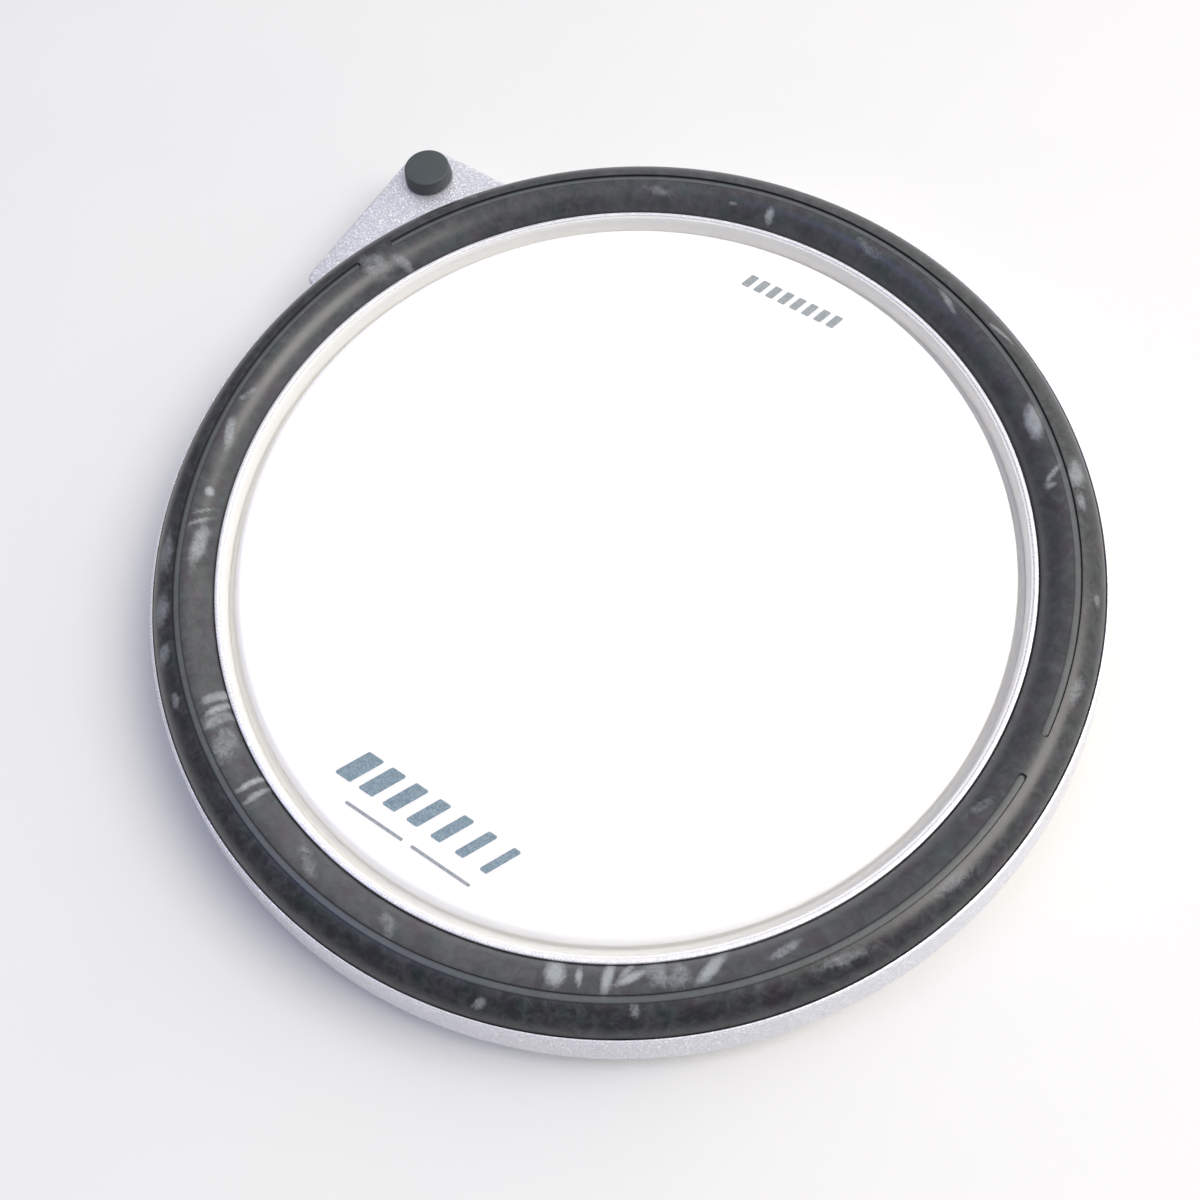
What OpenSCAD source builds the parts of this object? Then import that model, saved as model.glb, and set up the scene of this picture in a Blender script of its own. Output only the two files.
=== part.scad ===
// Electronic drum pad: a white cushioned head on isolators, a two-zone rubber rim over film
// switches, and a low round casing whose corner tab carries a control knob and the output jack.
// The origin is on the pad's axis, on the surface it rests on. +Y points away from the player.

/* [Casing] */
// Width of the round casing at its widest line
casing_d = 288; // [280:1:300]
// Height of the widest line above the surface
belt_z = 10; // [9.5:0.5:12]
// Drop from the rim's inner edge to the widest line
wall_drop = 15; // [15:0.5:18]
// Thickness of the casing's walls
wall_t = 2.2; // [2:0.1:2.4]
// Height of the feet below the bottom cover
foot_h = 2.5; // [2:0.1:2.6]
// Thickness of the bottom cover
cover_t = 2; // [1.8:0.1:2.2]

/* [Tab] */
// Distance from the pad's axis to the tab's far edge
tab_far_y = 94.5; // [92:0.5:98]
// Distance from the pad's axis to the tab's near end
tab_near_y = 27; // [24:0.5:32]
// Drop from the rim's inner edge to the tab's top
tab_drop = 2.4; // [2:0.1:3]
// Radius of the tab's outer corner
tab_corner_r = 8; // [5:0.5:10]

/* [Rim] */
// Width of the rubber rim
rim_w = 18.7; // [18:0.1:19]
// Height of the rim's crest over its inner edge
rim_crown = 6.3; // [5.5:0.1:7]
// Width of the groove along the crest
groove_w = 2.4; // [2:0.1:3]
// Depth of the groove
groove_depth = 0.7; // [0.5:0.1:0.9]
// Angle of the right-hand border of the two rim zones
zone_right = 1.6; // [0:0.1:4]
// Angle of the left-hand border of the two rim zones
zone_left = 160.6; // [160:0.1:162]
// Angle that the groove leaves plain at each border
zone_gap = 5.4; // [4:0.1:7]
// Travel of the rim before its switches close
rim_travel = 0.5; // [0.3:0.1:0.5]

/* [Head] */
// Width of the head's flat playing surface
head_flat_d = 228; // [225:1:229]
// Thickness of the head's moulded skin
head_skin_t = 3; // [2.5:0.1:3.4]
// Depth of the moat below the playing surface
moat_depth = 6.2; // [5.6:0.1:6.4]
// Travel of the head on its isolators
head_travel = 1; // [0.5:0.1:1]
// Number of isolators, each with its own screw
isolator_count = 6; // [6:6:12]

/* [Knob] */
// Width of the knob at its foot
knob_d = 16.2; // [16:0.1:17]
// Width of the knob at its top
knob_top_d = 15.2; // [14.8:0.1:15.8]
// Height of the knob over the tab
knob_h = 5; // [5:0.1:6]
// Distance from the knob's axis to the two edges of the tab
knob_inset = 11.2; // [11:0.1:12]
// Width of the potentiometer's shaft
shaft_d = 6; // [5.8:0.1:6]

/* [Jack] */
// Width of the jack's bore, for a 6.35 mm plug
jack_bore_d = 6.4; // [6.4:0.05:6.5]
// Distance from the pad's axis to the jack's axis
jack_y = 60; // [58:0.5:62]
// Height of the jack's axis
jack_z = 9.5; // [9.4:0.05:9.6]

/* [Mounting] */
// Spacing of the square of threaded inserts under the pad
insert_spacing = 50; // [40:1:60]
// Width of each insert's M5 thread
insert_bore_d = 5; // [4.9:0.1:5.1]

/* [Hidden] */
$fn = 96;
over = 1;          // how far a cutter runs past the face that it opens
gap = 0.3;         // clear space between pieces that move past each other
fit = 0.05;        // radial clearance of a shaft in its hole

// Heights, from the surface up
cover_z = foot_h;
floor_z = cover_z + cover_t;
rim_z = belt_z + wall_drop;
tab_z = rim_z - tab_drop;
channel_z = rim_z - 8.5;          // top of the channel's floor
channel_under_z = channel_z - 2;
ring_t = 1;
film_t = 0.5;
film_z = channel_z + ring_t;
rib_h = 0.6;                      // rib under the rim that presses the film switches
rim_base_z = film_z + film_t + rim_travel + 0.4 + rib_h;
head_z = rim_z - 1;
skin_under_z = head_z - head_skin_t;
plate_t = 1.2;
plate_z = rim_z - 7.7;            // underside of the steel plate
plate_top_z = plate_z + plate_t;
hem_t = 1;
ledge_z = plate_z - hem_t - head_travel - 0.8;   // top of the ledge that carries the isolators
ledge_t = 2;
ledge_under_z = ledge_z - ledge_t;

// Radii, from the outside in
belt_r = casing_d / 2;
rim_out_r = belt_r - 3.7;
rim_in_r = rim_out_r - rim_w;
rim_mid_r = (rim_out_r + rim_in_r) / 2;
lip_t = 1.5;
lip_in_r = rim_in_r - lip_t;
skirt_foot_r = belt_r - 5.8;
cover_r = skirt_foot_r - wall_t - 0.2;
surround_t = 0.9;
moat_floor_w = 1.9;
head_r = lip_in_r - surround_t - moat_floor_w - gap;
plate_r = head_r - 3.2;
ledge_in_r = plate_r - 15;
isolator_ring_r = plate_r - 9.5;
stem_ring_r = rim_out_r - 5.3;
boss_ring_r = rim_in_r + 3.4;
film_in_r = rim_in_r + 3.4;
film_out_r = film_in_r + 6;
tail_ring_r = film_in_r + 3;

// The tab's straight inner side, well inside the round casing, so the two shapes join
tab_right_x = -90;

// Fasteners and clips
stem_r = 2.5;
stem_hole_r = 3.2;
stem_count = 8;
clip_r = 4.8;
clip_t = 1;
boss_r = 3.8;
boss_count = 6;
cover_screw_r = 1.5;
head_screw_r = 2;
head_screw_head_r = 4;
head_screw_head_h = 2.4;
isolator_r = 5;
foot_r = 9;
foot_ring_r = 108;
foot_stem_r = 3;
insert_r = 3.6;

// Knob and potentiometer
knob_x = -belt_r + knob_inset;
knob_y = tab_far_y - knob_inset;
shaft_r = shaft_d / 2;
pot_w = 10;
pot_h = 6.8;
pot_bush_r = 3.9;
pot_roof_z = tab_z - wall_t;
bush_top_z = tab_z + 2.2;

// Jack
jack_w = 12;
jack_h = 9.4;
jack_end_x = -belt_r + 27;
jack_nose_r = 4.6;
jack_nose_l = 12;

// Circuit board
board_pos = [-92, 26];
board_size = [44, 30];
board_t = 1.6;
board_z = floor_z + 3.5;
board_top_z = board_z + board_t;
board_holes = [[4, 4], [40, 10], [40, 26]];
board_screw_r = 1.1;

// Leads: the points that each one passes, in order
lead_r = 0.8;
sensor_route = [[2, -3, 13], [-10, 2, 12], [-24, 8, 8.4], [-38, 15, 6.8], [-48, 20, 7.8],
  [-55, 25.6, 11.2]];
near_rim_route = [[-122, 38, 10], [-116, 38, 8.2], [-108, 36, 7], [-98, 30, 7.4],
  [-88, 22.4, 9.8], [-81, 25.4, 11.2]];
far_rim_route = [[-119, 47, 10], [-114, 44, 8], [-106, 41, 6.8], [-97, 36, 8.6],
  [-92, 27, 12.2], [-82, 20, 11.6], [-74, 25.4, 11.4]];
knob_route = [[-130, 75, 12.6], [-124, 74, 9], [-114, 74, 6.8], [-100, 72, 6.4],
  [-84, 66, 6.6], [-70, 62, 8], [-66, 56.6, 11]];
jack_route = [[-114, 58, 8.4], [-109, 55, 7], [-101, 57, 6.4], [-88, 61, 6.4],
  [-76, 62, 7.6], [-71, 56.6, 11]];

// Points of an ellipse's arc about [cx, cy], from angle a0 to a1 in n steps
function arc(cx, cy, rx, ry, a0, a1, n) =
  [for (i = [0 : n]) let (a = a0 + (a1 - a0) * i / n) [cx + rx * cos(a), cy + ry * sin(a)]];

// A point of the smooth curve through route, between its points i and i + 1
function at(route, i) = route[max(0, min(len(route) - 1, i))];
function blend(route, i, t) = 0.5 * (2 * at(route, i) + t * (at(route, i + 1) - at(route, i - 1))
  + t * t * (2 * at(route, i - 1) - 5 * at(route, i) + 4 * at(route, i + 1) - at(route, i + 2))
  + t * t * t * (3 * at(route, i) - at(route, i - 1) - 3 * at(route, i + 1) + at(route, i + 2)));
function smooth(route, n) =
  [for (i = [0 : len(route) - 2], k = [0 : n - 1]) blend(route, i, k / n), route[len(route) - 1]];
function unit(v) = v / norm(v);

// A round lead along a smooth route
module lead(route, r) {
  sides = 8;
  path = smooth(route, 3);
  last = len(path) - 1;
  rings = [for (i = [0 : last])
    let (along = unit(path[min(i + 1, last)] - path[max(i - 1, 0)]),
         side = unit(cross(along, [0, 0, 1])), up = cross(side, along))
    for (k = [0 : sides - 1]) let (a = 360 * k / sides)
      path[i] + r * cos(a) * side + r * sin(a) * up];
  walls = [for (i = [0 : last - 1], k = [0 : sides - 1])
    let (n = (k + 1) % sides)
    [i * sides + k, i * sides + n, (i + 1) * sides + n, (i + 1) * sides + k]];
  ends = [[for (k = [0 : sides - 1]) sides - 1 - k], [for (k = [0 : sides - 1]) last * sides + k]];
  polyhedron(points = rings, faces = concat(walls, ends));
}

// Children repeated round the axis: count copies at radius r, the first one at angle a0
module around(count, r, a0) {
  for (i = [0 : count - 1])
    rotate([0, 0, a0 + i * 360 / count]) translate([r, 0, 0]) children();
}

module disc(z0, z1, r) { translate([0, 0, z0]) cylinder(h = z1 - z0, r = r); }

module ring(z0, z1, r_in, r_out) {
  difference() {
    disc(z0, z1, r_out);
    disc(z0 - over, z1 + over, r_in);
  }
}

// A flat-topped ring that spans only the angles a0 to a1
module ring_arc(z0, z1, r_in, r_out, a0, a1) {
  rotate([0, 0, a0]) rotate_extrude(angle = a1 - a0, $fn = 180)
    translate([r_in, z0]) square([r_out - r_in, z1 - z0]);
}

// Outline of the tab, pulled in by d all round; its inner side is left straight at x = right
module tab_outline(d, right) {
  corner = tab_corner_r - d;
  near_corner = 4 - d;
  left = -belt_r + d;
  near = tab_near_y + d;
  far = tab_far_y - d;
  translate([left + corner, near]) square([right - left - corner, far - near]);
  translate([left, near + near_corner]) square([corner + over, far - near - near_corner - corner]);
  translate([left + near_corner, near]) square([corner, corner]);
  translate([left + corner, far - corner]) circle(r = corner);
  translate([left + near_corner, near + near_corner]) circle(r = near_corner);
}

module casing_ring() {
  wall_top = [[belt_r - 2.6, rim_z - 1.6], [belt_r - 2.85, rim_z - 0.5],
    [belt_r - 3.2, rim_z + 0.1]];
  rotate_extrude($fn = 180) polygon(concat(
    [[ledge_in_r, ledge_under_z], [rim_in_r, ledge_under_z], [rim_in_r, channel_under_z],
     [rim_out_r - 0.4, channel_under_z], [belt_r - wall_t - 0.1, belt_z],
     [skirt_foot_r - wall_t, floor_z], [skirt_foot_r - wall_t, cover_z],
     [skirt_foot_r, cover_z], [belt_r, belt_z]],
    wall_top,
    [[rim_out_r, rim_z + 0.2], [rim_out_r, channel_z], [rim_in_r, channel_z],
     [rim_in_r, rim_z], [rim_in_r - 0.3, rim_z + 0.3], [lip_in_r + 0.3, rim_z + 0.3],
     [lip_in_r, rim_z], [lip_in_r, ledge_z], [ledge_in_r, ledge_z]]));
}

module upper_casing() {
  saddle_x = [-136, -121];
  color("silver") difference() {
    union() {
      difference() {
        casing_ring();
        translate([0, 0, -over]) linear_extrude(channel_under_z + over) difference() {
          tab_outline(wall_t, tab_right_x);
          circle(r = rim_in_r + 0.5);
        }
      }
      translate([0, 0, cover_z]) linear_extrude(tab_z - cover_z) difference() {
        tab_outline(0, tab_right_x);
        tab_outline(wall_t, tab_right_x);
        circle(r = rim_out_r + 0.3);
      }
      translate([0, 0, tab_z - wall_t]) linear_extrude(wall_t) difference() {
        tab_outline(0, tab_right_x);
        circle(r = rim_out_r + 0.3);
      }
      around(boss_count, boss_ring_r, 30) disc(floor_z, channel_under_z + 0.5, boss_r);
      for (side = [-1, 1])
        translate([saddle_x[0], jack_y + side * (jack_w / 2 + 0.95) - 0.75, 6])
          cube([saddle_x[1] - saddle_x[0], 1.5, channel_under_z + 0.5 - 6]);
    }
    around(boss_count, boss_ring_r, 30) disc(floor_z - over, channel_under_z - 1.5, cover_screw_r);
    around(stem_count, stem_ring_r, 0)
      disc(channel_under_z - over, channel_z + over, stem_hole_r);
    around(isolator_count, isolator_ring_r, 0)
      disc(ledge_under_z - over, ledge_z + over, head_screw_r + 0.5);
    for (a = [zone_left - 2.1, zone_left + 2.1]) rotate([0, 0, a])
      translate([tail_ring_r - 2.6, -0.8, channel_under_z - over])
        cube([5.2, 1.6, channel_z - channel_under_z + 2 * over]);
    translate([knob_x, knob_y, tab_z - wall_t - over])
      cylinder(h = wall_t + 2 * over, r = pot_bush_r + 0.1);
    translate([-belt_r - over, jack_y, jack_z]) rotate([0, 90, 0])
      cylinder(h = wall_t + 2 * over, r = jack_nose_r + 0.15);
  }
}

module bottom_cover() {
  rib_top = floor_z + 2.5;
  half = insert_spacing / 2;
  color("dimgray") difference() {
    union() {
      disc(cover_z, floor_z, cover_r);
      translate([0, 0, cover_z]) linear_extrude(cover_t) tab_outline(wall_t + 0.2, tab_right_x);
      for (x = [-half, half], y = [-half, half])
        translate([x, y, 0]) disc(floor_z - 0.5, cover_z + 7.5, 7);
      for (a = [0, 90, 180, 270]) rotate([0, 0, a])
        translate([-half, half - 1.5, floor_z - 0.5]) cube([2 * half, 3, 2.5]);
      for (a = [30 : 60 : 330]) rotate([0, 0, a])
        translate([half + 16, -1, floor_z - 0.5]) cube([54, 2, rib_top - floor_z + 0.5]);
      ring(floor_z - 0.5, rib_top - 0.6, 80, 82);
      at_board_holes() disc(floor_z - 0.5, board_z, 3);
    }
    around(boss_count, boss_ring_r, 30) {
      disc(cover_z - over, floor_z + over, cover_screw_r + 0.3);
      disc(cover_z - over, cover_z + 1.2, 3.2);
    }
    around(4, foot_ring_r, 45) disc(cover_z - over, floor_z + over, foot_stem_r);
    for (x = [-half, half], y = [-half, half])
      translate([x, y, 0]) disc(cover_z - over, cover_z + 7, insert_r);
    at_board_holes() disc(floor_z + 0.4, board_z + over, board_screw_r);
  }
}

module rubber_feet() {
  color("black") around(4, foot_ring_r, 45) {
    translate([0, 0, foot_h / 2]) cylinder(h = foot_h / 2, r = foot_r);
    cylinder(h = foot_h / 2, r1 = foot_r - 0.8, r2 = foot_r);
    disc(foot_h - 0.2, floor_z + 0.2, foot_stem_r);
    translate([0, 0, floor_z]) cylinder(h = 1.6, r1 = foot_stem_r + 1, r2 = foot_stem_r - 0.5);
  }
}

module cover_screws() {
  color("gray") around(boss_count, boss_ring_r, 30) difference() {
    union() {
      disc(cover_z + 0.1, cover_z + 1.2, 3);
      disc(cover_z + 1, channel_under_z - 2, cover_screw_r);
    }
    translate([-2, -0.3, cover_z]) cube([4, 0.6, 0.7]);
    translate([-0.3, -2, cover_z]) cube([0.6, 4, 0.7]);
  }
}

module mount_inserts() {
  half = insert_spacing / 2;
  color("goldenrod") for (x = [-half, half], y = [-half, half])
    translate([x, y, 0]) ring(cover_z, cover_z + 7, insert_bore_d / 2, insert_r);
}

module rim_rubber() {
  half = rim_w / 2 - 0.25;
  crown_r = (half * half + rim_crown * rim_crown) / (2 * rim_crown);
  lean = asin(half / crown_r);
  crown_z = rim_z + rim_crown - crown_r;
  groove_z = rim_z + rim_crown - groove_depth;
  spans = [[zone_right + zone_gap / 2, zone_left - zone_gap / 2],
    [zone_left + zone_gap / 2, zone_right + 360 - zone_gap / 2]];
  color("#2a2a2c") difference() {
    union() {
      rotate_extrude($fn = 180) polygon(concat(
        arc(rim_mid_r, crown_z, crown_r, crown_r, 90 - lean, 90 + lean, 20),
        [[rim_in_r + gap, rim_z - 0.4], [rim_in_r + gap, rim_base_z],
         [film_in_r + 2, rim_base_z], [film_in_r + 2, rim_base_z - rib_h],
         [film_in_r + 4, rim_base_z - rib_h], [film_in_r + 4, rim_base_z],
         [rim_out_r - gap, rim_base_z], [rim_out_r - gap, rim_z - 0.4]]));
      around(stem_count, stem_ring_r, 0)
        disc(channel_under_z - gap - clip_t - 0.4, rim_base_z + 0.5, stem_r);
    }
    for (s = spans)
      ring_arc(groove_z, groove_z + 2, rim_mid_r - groove_w / 2, rim_mid_r + groove_w / 2,
        s[0], s[1]);
  }
}

module rim_clips() {
  color("lightgray") around(stem_count, stem_ring_r, 0)
    ring(channel_under_z - gap - clip_t, channel_under_z - gap, stem_r + fit, clip_r);
}

module rim_backing_ring() {
  color("slategray") difference() {
    ring(channel_z, film_z, rim_in_r + 0.2, rim_out_r - 0.2);
    around(stem_count, stem_ring_r, 0) disc(channel_z - over, film_z + over, stem_hole_r);
    for (a = [zone_left - 2.1, zone_left + 2.1]) rotate([0, 0, a])
      translate([tail_ring_r - 2.6, -0.8, channel_z - over]) cube([5.2, 1.6, ring_t + 2 * over]);
  }
}

module rim_cushions() {
  color("#3c3c3c") {
    ring(film_z, rim_base_z, rim_in_r + 0.8, film_in_r - 0.4);
    ring(film_z, rim_base_z, rim_out_r - 2, rim_out_r - 0.4);
  }
}

// One film switch over the angles a0 to a1, with its connecting tail at angle a_tail
module film_switch(a0, a1, a_tail) {
  ring_arc(film_z, film_z + film_t, film_in_r, film_out_r, a0, a1);
  rotate([0, 0, a_tail]) translate([tail_ring_r - 2, -0.15, channel_under_z - 3.5])
    cube([4, 0.3, film_z - channel_under_z + 3.5 + film_t / 2]);
}

module rim_switch_near() {
  color("#c8b060") film_switch(zone_left + 1.4, zone_right + 360 - 1.4, zone_left + 2.1);
}

module rim_switch_far() {
  color("#b8a050") film_switch(zone_right + 1.4, zone_left - 1.4, zone_left - 2.1);
}

module playing_head() {
  flat_r = head_flat_d / 2;
  color("white") rotate_extrude($fn = 180) polygon(concat(
    [[0, skin_under_z], [plate_r + 0.1, skin_under_z], [plate_r + 0.1, plate_z],
     [plate_r - 3, plate_z], [plate_r - 3, plate_z - hem_t], [head_r, plate_z - hem_t]],
    arc(flat_r, head_z - moat_depth, head_r - flat_r, moat_depth, 0, 90, 10),
    [[0, head_z]]));
}

module head_surround() {
  moat_z = head_z - moat_depth;
  wall_r = lip_in_r - surround_t;
  color("ivory") rotate_extrude($fn = 180) polygon([
    [head_r + gap, moat_z - 1.2], [lip_in_r, moat_z - 1.2], [lip_in_r, rim_z - 0.1],
    [lip_in_r - 0.5, rim_z - 0.1], [wall_r, rim_z - 1], [wall_r, moat_z + 0.4],
    [wall_r - 0.4, moat_z], [head_r + gap, moat_z]]);
}

module head_foam() { color("#606468") disc(plate_top_z, skin_under_z, plate_r); }

module head_plate() {
  color("lightslategray") difference() {
    disc(plate_z, plate_top_z, plate_r);
    around(isolator_count, isolator_ring_r, 0)
      disc(plate_z - over, plate_top_z + over, head_screw_r + fit);
  }
}

module head_screws() {
  color("gray") around(isolator_count, isolator_ring_r, 0) difference() {
    union() {
      disc(ledge_under_z - gap - head_screw_head_h, ledge_under_z - gap, head_screw_head_r);
      disc(ledge_under_z - gap, plate_top_z, head_screw_r);
    }
    translate([0, 0, ledge_under_z - gap - head_screw_head_h - over])
      cylinder(h = over + 1.4, r = 1.6, $fn = 6);
  }
}

module head_isolators() {
  color("#303030") around(isolator_count, isolator_ring_r, 0)
    ring(ledge_z, plate_z, head_screw_r + 0.4, isolator_r);
}

module sensor_cushion() { color("#404448") disc(plate_z - 1.5, plate_z, 15); }

module sensor_disc() { color("gold") disc(plate_z - 1.8, plate_z - 1.5, 13.5); }

module sensor_ceramic() { color("ivory") disc(plate_z - 2.05, plate_z - 1.8, 10); }

module at_knob(z) { translate([knob_x, knob_y, z]) children(); }

module control_knob() {
  foot = tab_z + 0.4;
  top = tab_z + knob_h;
  bevel = 0.5;
  color("#3c4040") at_knob(0) difference() {
    union() {
      disc(foot, foot + 0.8, knob_d / 2);
      translate([0, 0, foot + 0.8])
        cylinder(h = top - bevel - foot - 0.8, r1 = knob_d / 2, r2 = knob_top_d / 2);
      translate([0, 0, top - bevel])
        cylinder(h = bevel, r1 = knob_top_d / 2, r2 = knob_top_d / 2 - bevel);
    }
    disc(foot - over, tab_z + 3, 6.3);
    difference() {
      disc(tab_z + 2.9, top - 1.1, shaft_r);
      translate([shaft_r - 0.8, -shaft_r, tab_z + 2.8]) cube([2, 2 * shaft_r, knob_h]);
    }
  }
}

module pot_shaft() {
  top = tab_z + knob_h - 1.2;
  color("lightgray") at_knob(0) difference() {
    disc(pot_roof_z - 3.6, top, shaft_r);
    translate([shaft_r - 0.8, -shaft_r, tab_z + 2.6]) cube([2, 2 * shaft_r, knob_h]);
  }
}

module pot_body() {
  color("steelblue") at_knob(0) difference() {
    union() {
      translate([-pot_w / 2, -pot_w / 2, pot_roof_z - pot_h]) cube([pot_w, pot_w, pot_h]);
      disc(pot_roof_z - 0.5, bush_top_z, pot_bush_r);
    }
    disc(pot_roof_z - 3.8, bush_top_z + over, shaft_r + fit);
  }
}

module pot_washer() {
  color("silver") at_knob(0) ring(tab_z, tab_z + 0.3, pot_bush_r + 0.1, 5.8);
}

module pot_nut() {
  color("silver") at_knob(0) difference() {
    translate([0, 0, tab_z + 0.3]) cylinder(h = 1.6, r = 5.7, $fn = 6);
    disc(tab_z, tab_z + 3, pot_bush_r + 0.02);
  }
}

module pot_terminals() {
  color("gold") at_knob(0) for (x = [-2.5, 0, 2.5])
    translate([x - 0.4, -pot_w / 2 - 2.5, pot_roof_z - pot_h + 0.6]) cube([0.8, 2.5, 0.4]);
}

module at_jack(x) { translate([x, jack_y, jack_z]) rotate([0, 90, 0]) children(); }

module jack_body() {
  front_x = -belt_r + wall_t + 0.1;
  color("#202020") difference() {
    translate([front_x, jack_y - jack_w / 2, jack_z - jack_h / 2])
      cube([jack_end_x - front_x, jack_w, jack_h]);
    at_jack(front_x - over) cylinder(h = jack_nose_l, r = jack_nose_r - 0.35);
    translate([-belt_r + jack_nose_l + 1, jack_y - 4.6, jack_z - 3.6])
      cube([jack_end_x + belt_r - jack_nose_l - 2.5, 9.2, 7.2]);
    at_jack(jack_end_x - 3) cylinder(h = 3 + over, r = 3.4);
  }
}

module jack_nose() {
  color("silver") difference() {
    union() {
      at_jack(-belt_r + 0.1) cylinder(h = wall_t, r = jack_nose_r);
      at_jack(-belt_r + 0.1) cylinder(h = jack_nose_l, r = jack_nose_r - 0.35);
    }
    at_jack(-belt_r - over) cylinder(h = jack_nose_l + 3, r = jack_bore_d / 2);
  }
}

module jack_contacts() {
  blade = 0.35;
  color("goldenrod") for (side = [-1, 1]) {
    length = side > 0 ? 12 : 8.5;
    start_x = jack_end_x - 1.4 - length;
    translate([start_x, jack_y + side * 3.9 - blade / 2, jack_z - 1.5]) cube([length + 3, blade, 3]);
    translate([start_x, jack_y + side * 3.6 - 0.3, jack_z - 1.5]) cube([1.6, 0.6, 3]);
  }
}

module at_board_holes() {
  for (p = board_holes) translate([board_pos[0] + p[0], board_pos[1] + p[1], 0]) children();
}

module circuit_board() {
  color("darkgreen") difference() {
    translate([board_pos[0], board_pos[1], board_z]) cube([board_size[0], board_size[1], board_t]);
    at_board_holes() disc(board_z - over, board_top_z + over, board_screw_r + 0.3);
  }
}

module board_screws() {
  color("gray") at_board_holes() {
    disc(board_z - 2.8, board_top_z + 0.2, board_screw_r);
    disc(board_top_z, board_top_z + 1.4, 2.3);
  }
}

// Each connector's left edge, front edge and width on the board
module board_connectors() {
  color("whitesmoke") for (c = [[8.5, 1, 5.4], [15, 1, 5.4], [33.5, 1, 5.4], [18, 24.4, 10]])
    translate([board_pos[0] + c[0], board_pos[1] + c[1], board_top_z]) cube([c[2], 4.6, 3.2]);
}

module board_parts() {
  for (i = [0 : 3]) color("tan")
    translate([board_pos[0] + 8 + 7 * i, board_pos[1] + 10, board_top_z + 1.2])
      rotate([-90, 0, 0]) cylinder(h = 6, r = 1.2);
  color("navy") translate([board_pos[0] + 36, board_pos[1] + 17, board_top_z])
    cylinder(h = 3, r = 3);
}

module sensor_lead() { color("red") lead(sensor_route, lead_r); }

module near_rim_lead() { color("gray") lead(near_rim_route, lead_r); }

module far_rim_lead() { color("gray") lead(far_rim_route, lead_r); }

module knob_lead() { color("yellow") lead(knob_route, lead_r); }

module jack_lead() { color("darkorange") lead(jack_route, lead_r); }

module lead_clips() {
  color("white") for (p = [[-39.5, 12.5], [-103, 69.9]]) translate([p[0], p[1], floor_z])
    difference() {
      cube([3, 5, 4.2]);
      translate([-over, 0.8, -over]) cube([3 + 2 * over, 3.4, 3.6 + over]);
    }
}

upper_casing();
bottom_cover();
rubber_feet();
cover_screws();
mount_inserts();
rim_rubber();
rim_clips();
rim_backing_ring();
rim_cushions();
rim_switch_near();
rim_switch_far();
playing_head();
head_surround();
head_foam();
head_plate();
head_screws();
head_isolators();
sensor_cushion();
sensor_disc();
sensor_ceramic();
control_knob();
pot_body();
pot_shaft();
pot_nut();
pot_washer();
pot_terminals();
jack_body();
jack_nose();
jack_contacts();
circuit_board();
board_screws();
board_connectors();
board_parts();
sensor_lead();
near_rim_lead();
far_rim_lead();
knob_lead();
jack_lead();
lead_clips();
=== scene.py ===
# Electronic drum pad: looks, light and camera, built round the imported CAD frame.
# Shapes are worked out in millimetres and put into the meshes in metres.
import math

import bmesh
import bpy
import numpy as np
from mathutils import Matrix, Vector


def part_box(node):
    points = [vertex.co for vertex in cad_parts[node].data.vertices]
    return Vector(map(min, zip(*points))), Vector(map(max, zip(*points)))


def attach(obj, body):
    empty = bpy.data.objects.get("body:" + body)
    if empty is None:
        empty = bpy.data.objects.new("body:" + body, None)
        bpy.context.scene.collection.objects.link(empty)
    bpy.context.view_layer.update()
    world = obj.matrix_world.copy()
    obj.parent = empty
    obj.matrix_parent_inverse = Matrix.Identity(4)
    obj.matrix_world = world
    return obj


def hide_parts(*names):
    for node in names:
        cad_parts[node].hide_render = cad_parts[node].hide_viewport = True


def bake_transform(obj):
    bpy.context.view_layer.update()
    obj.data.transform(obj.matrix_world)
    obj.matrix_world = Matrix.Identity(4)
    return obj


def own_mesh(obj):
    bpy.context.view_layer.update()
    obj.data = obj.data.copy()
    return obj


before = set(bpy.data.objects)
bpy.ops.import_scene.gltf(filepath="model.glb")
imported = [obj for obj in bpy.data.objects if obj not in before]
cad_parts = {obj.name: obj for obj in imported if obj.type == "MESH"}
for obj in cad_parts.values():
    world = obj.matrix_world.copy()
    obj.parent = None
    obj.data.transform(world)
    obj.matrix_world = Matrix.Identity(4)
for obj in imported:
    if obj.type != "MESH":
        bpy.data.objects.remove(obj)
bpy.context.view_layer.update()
mm = 0.001
turn = 2 * math.pi
print("frame loaded:", len(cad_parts), "CAD nodes")


def low(node):
    # Lowest corner of a CAD node, in millimetres
    return np.array(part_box(node)[0]) / mm


def high(node):
    # Highest corner of a CAD node, in millimetres
    return np.array(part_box(node)[1]) / mm


# Camera, placed by angles and millimetres round the pad's axis
camera = {
    "azimuth": 41.0,        # degrees round the pad from the player's side
    "elevation": 64.2,
    "distance": 386.0,      # to the point on the axis at targetZ
    "targetZ": 25.0,
    "roll": 8.489,          # degrees, then the pan and tilt that set the pad off centre
    "pan": 0.756,
    "tilt": -2.538,
    "lens": 39.0,
    "sensorWidth": 36.0,
}


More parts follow.
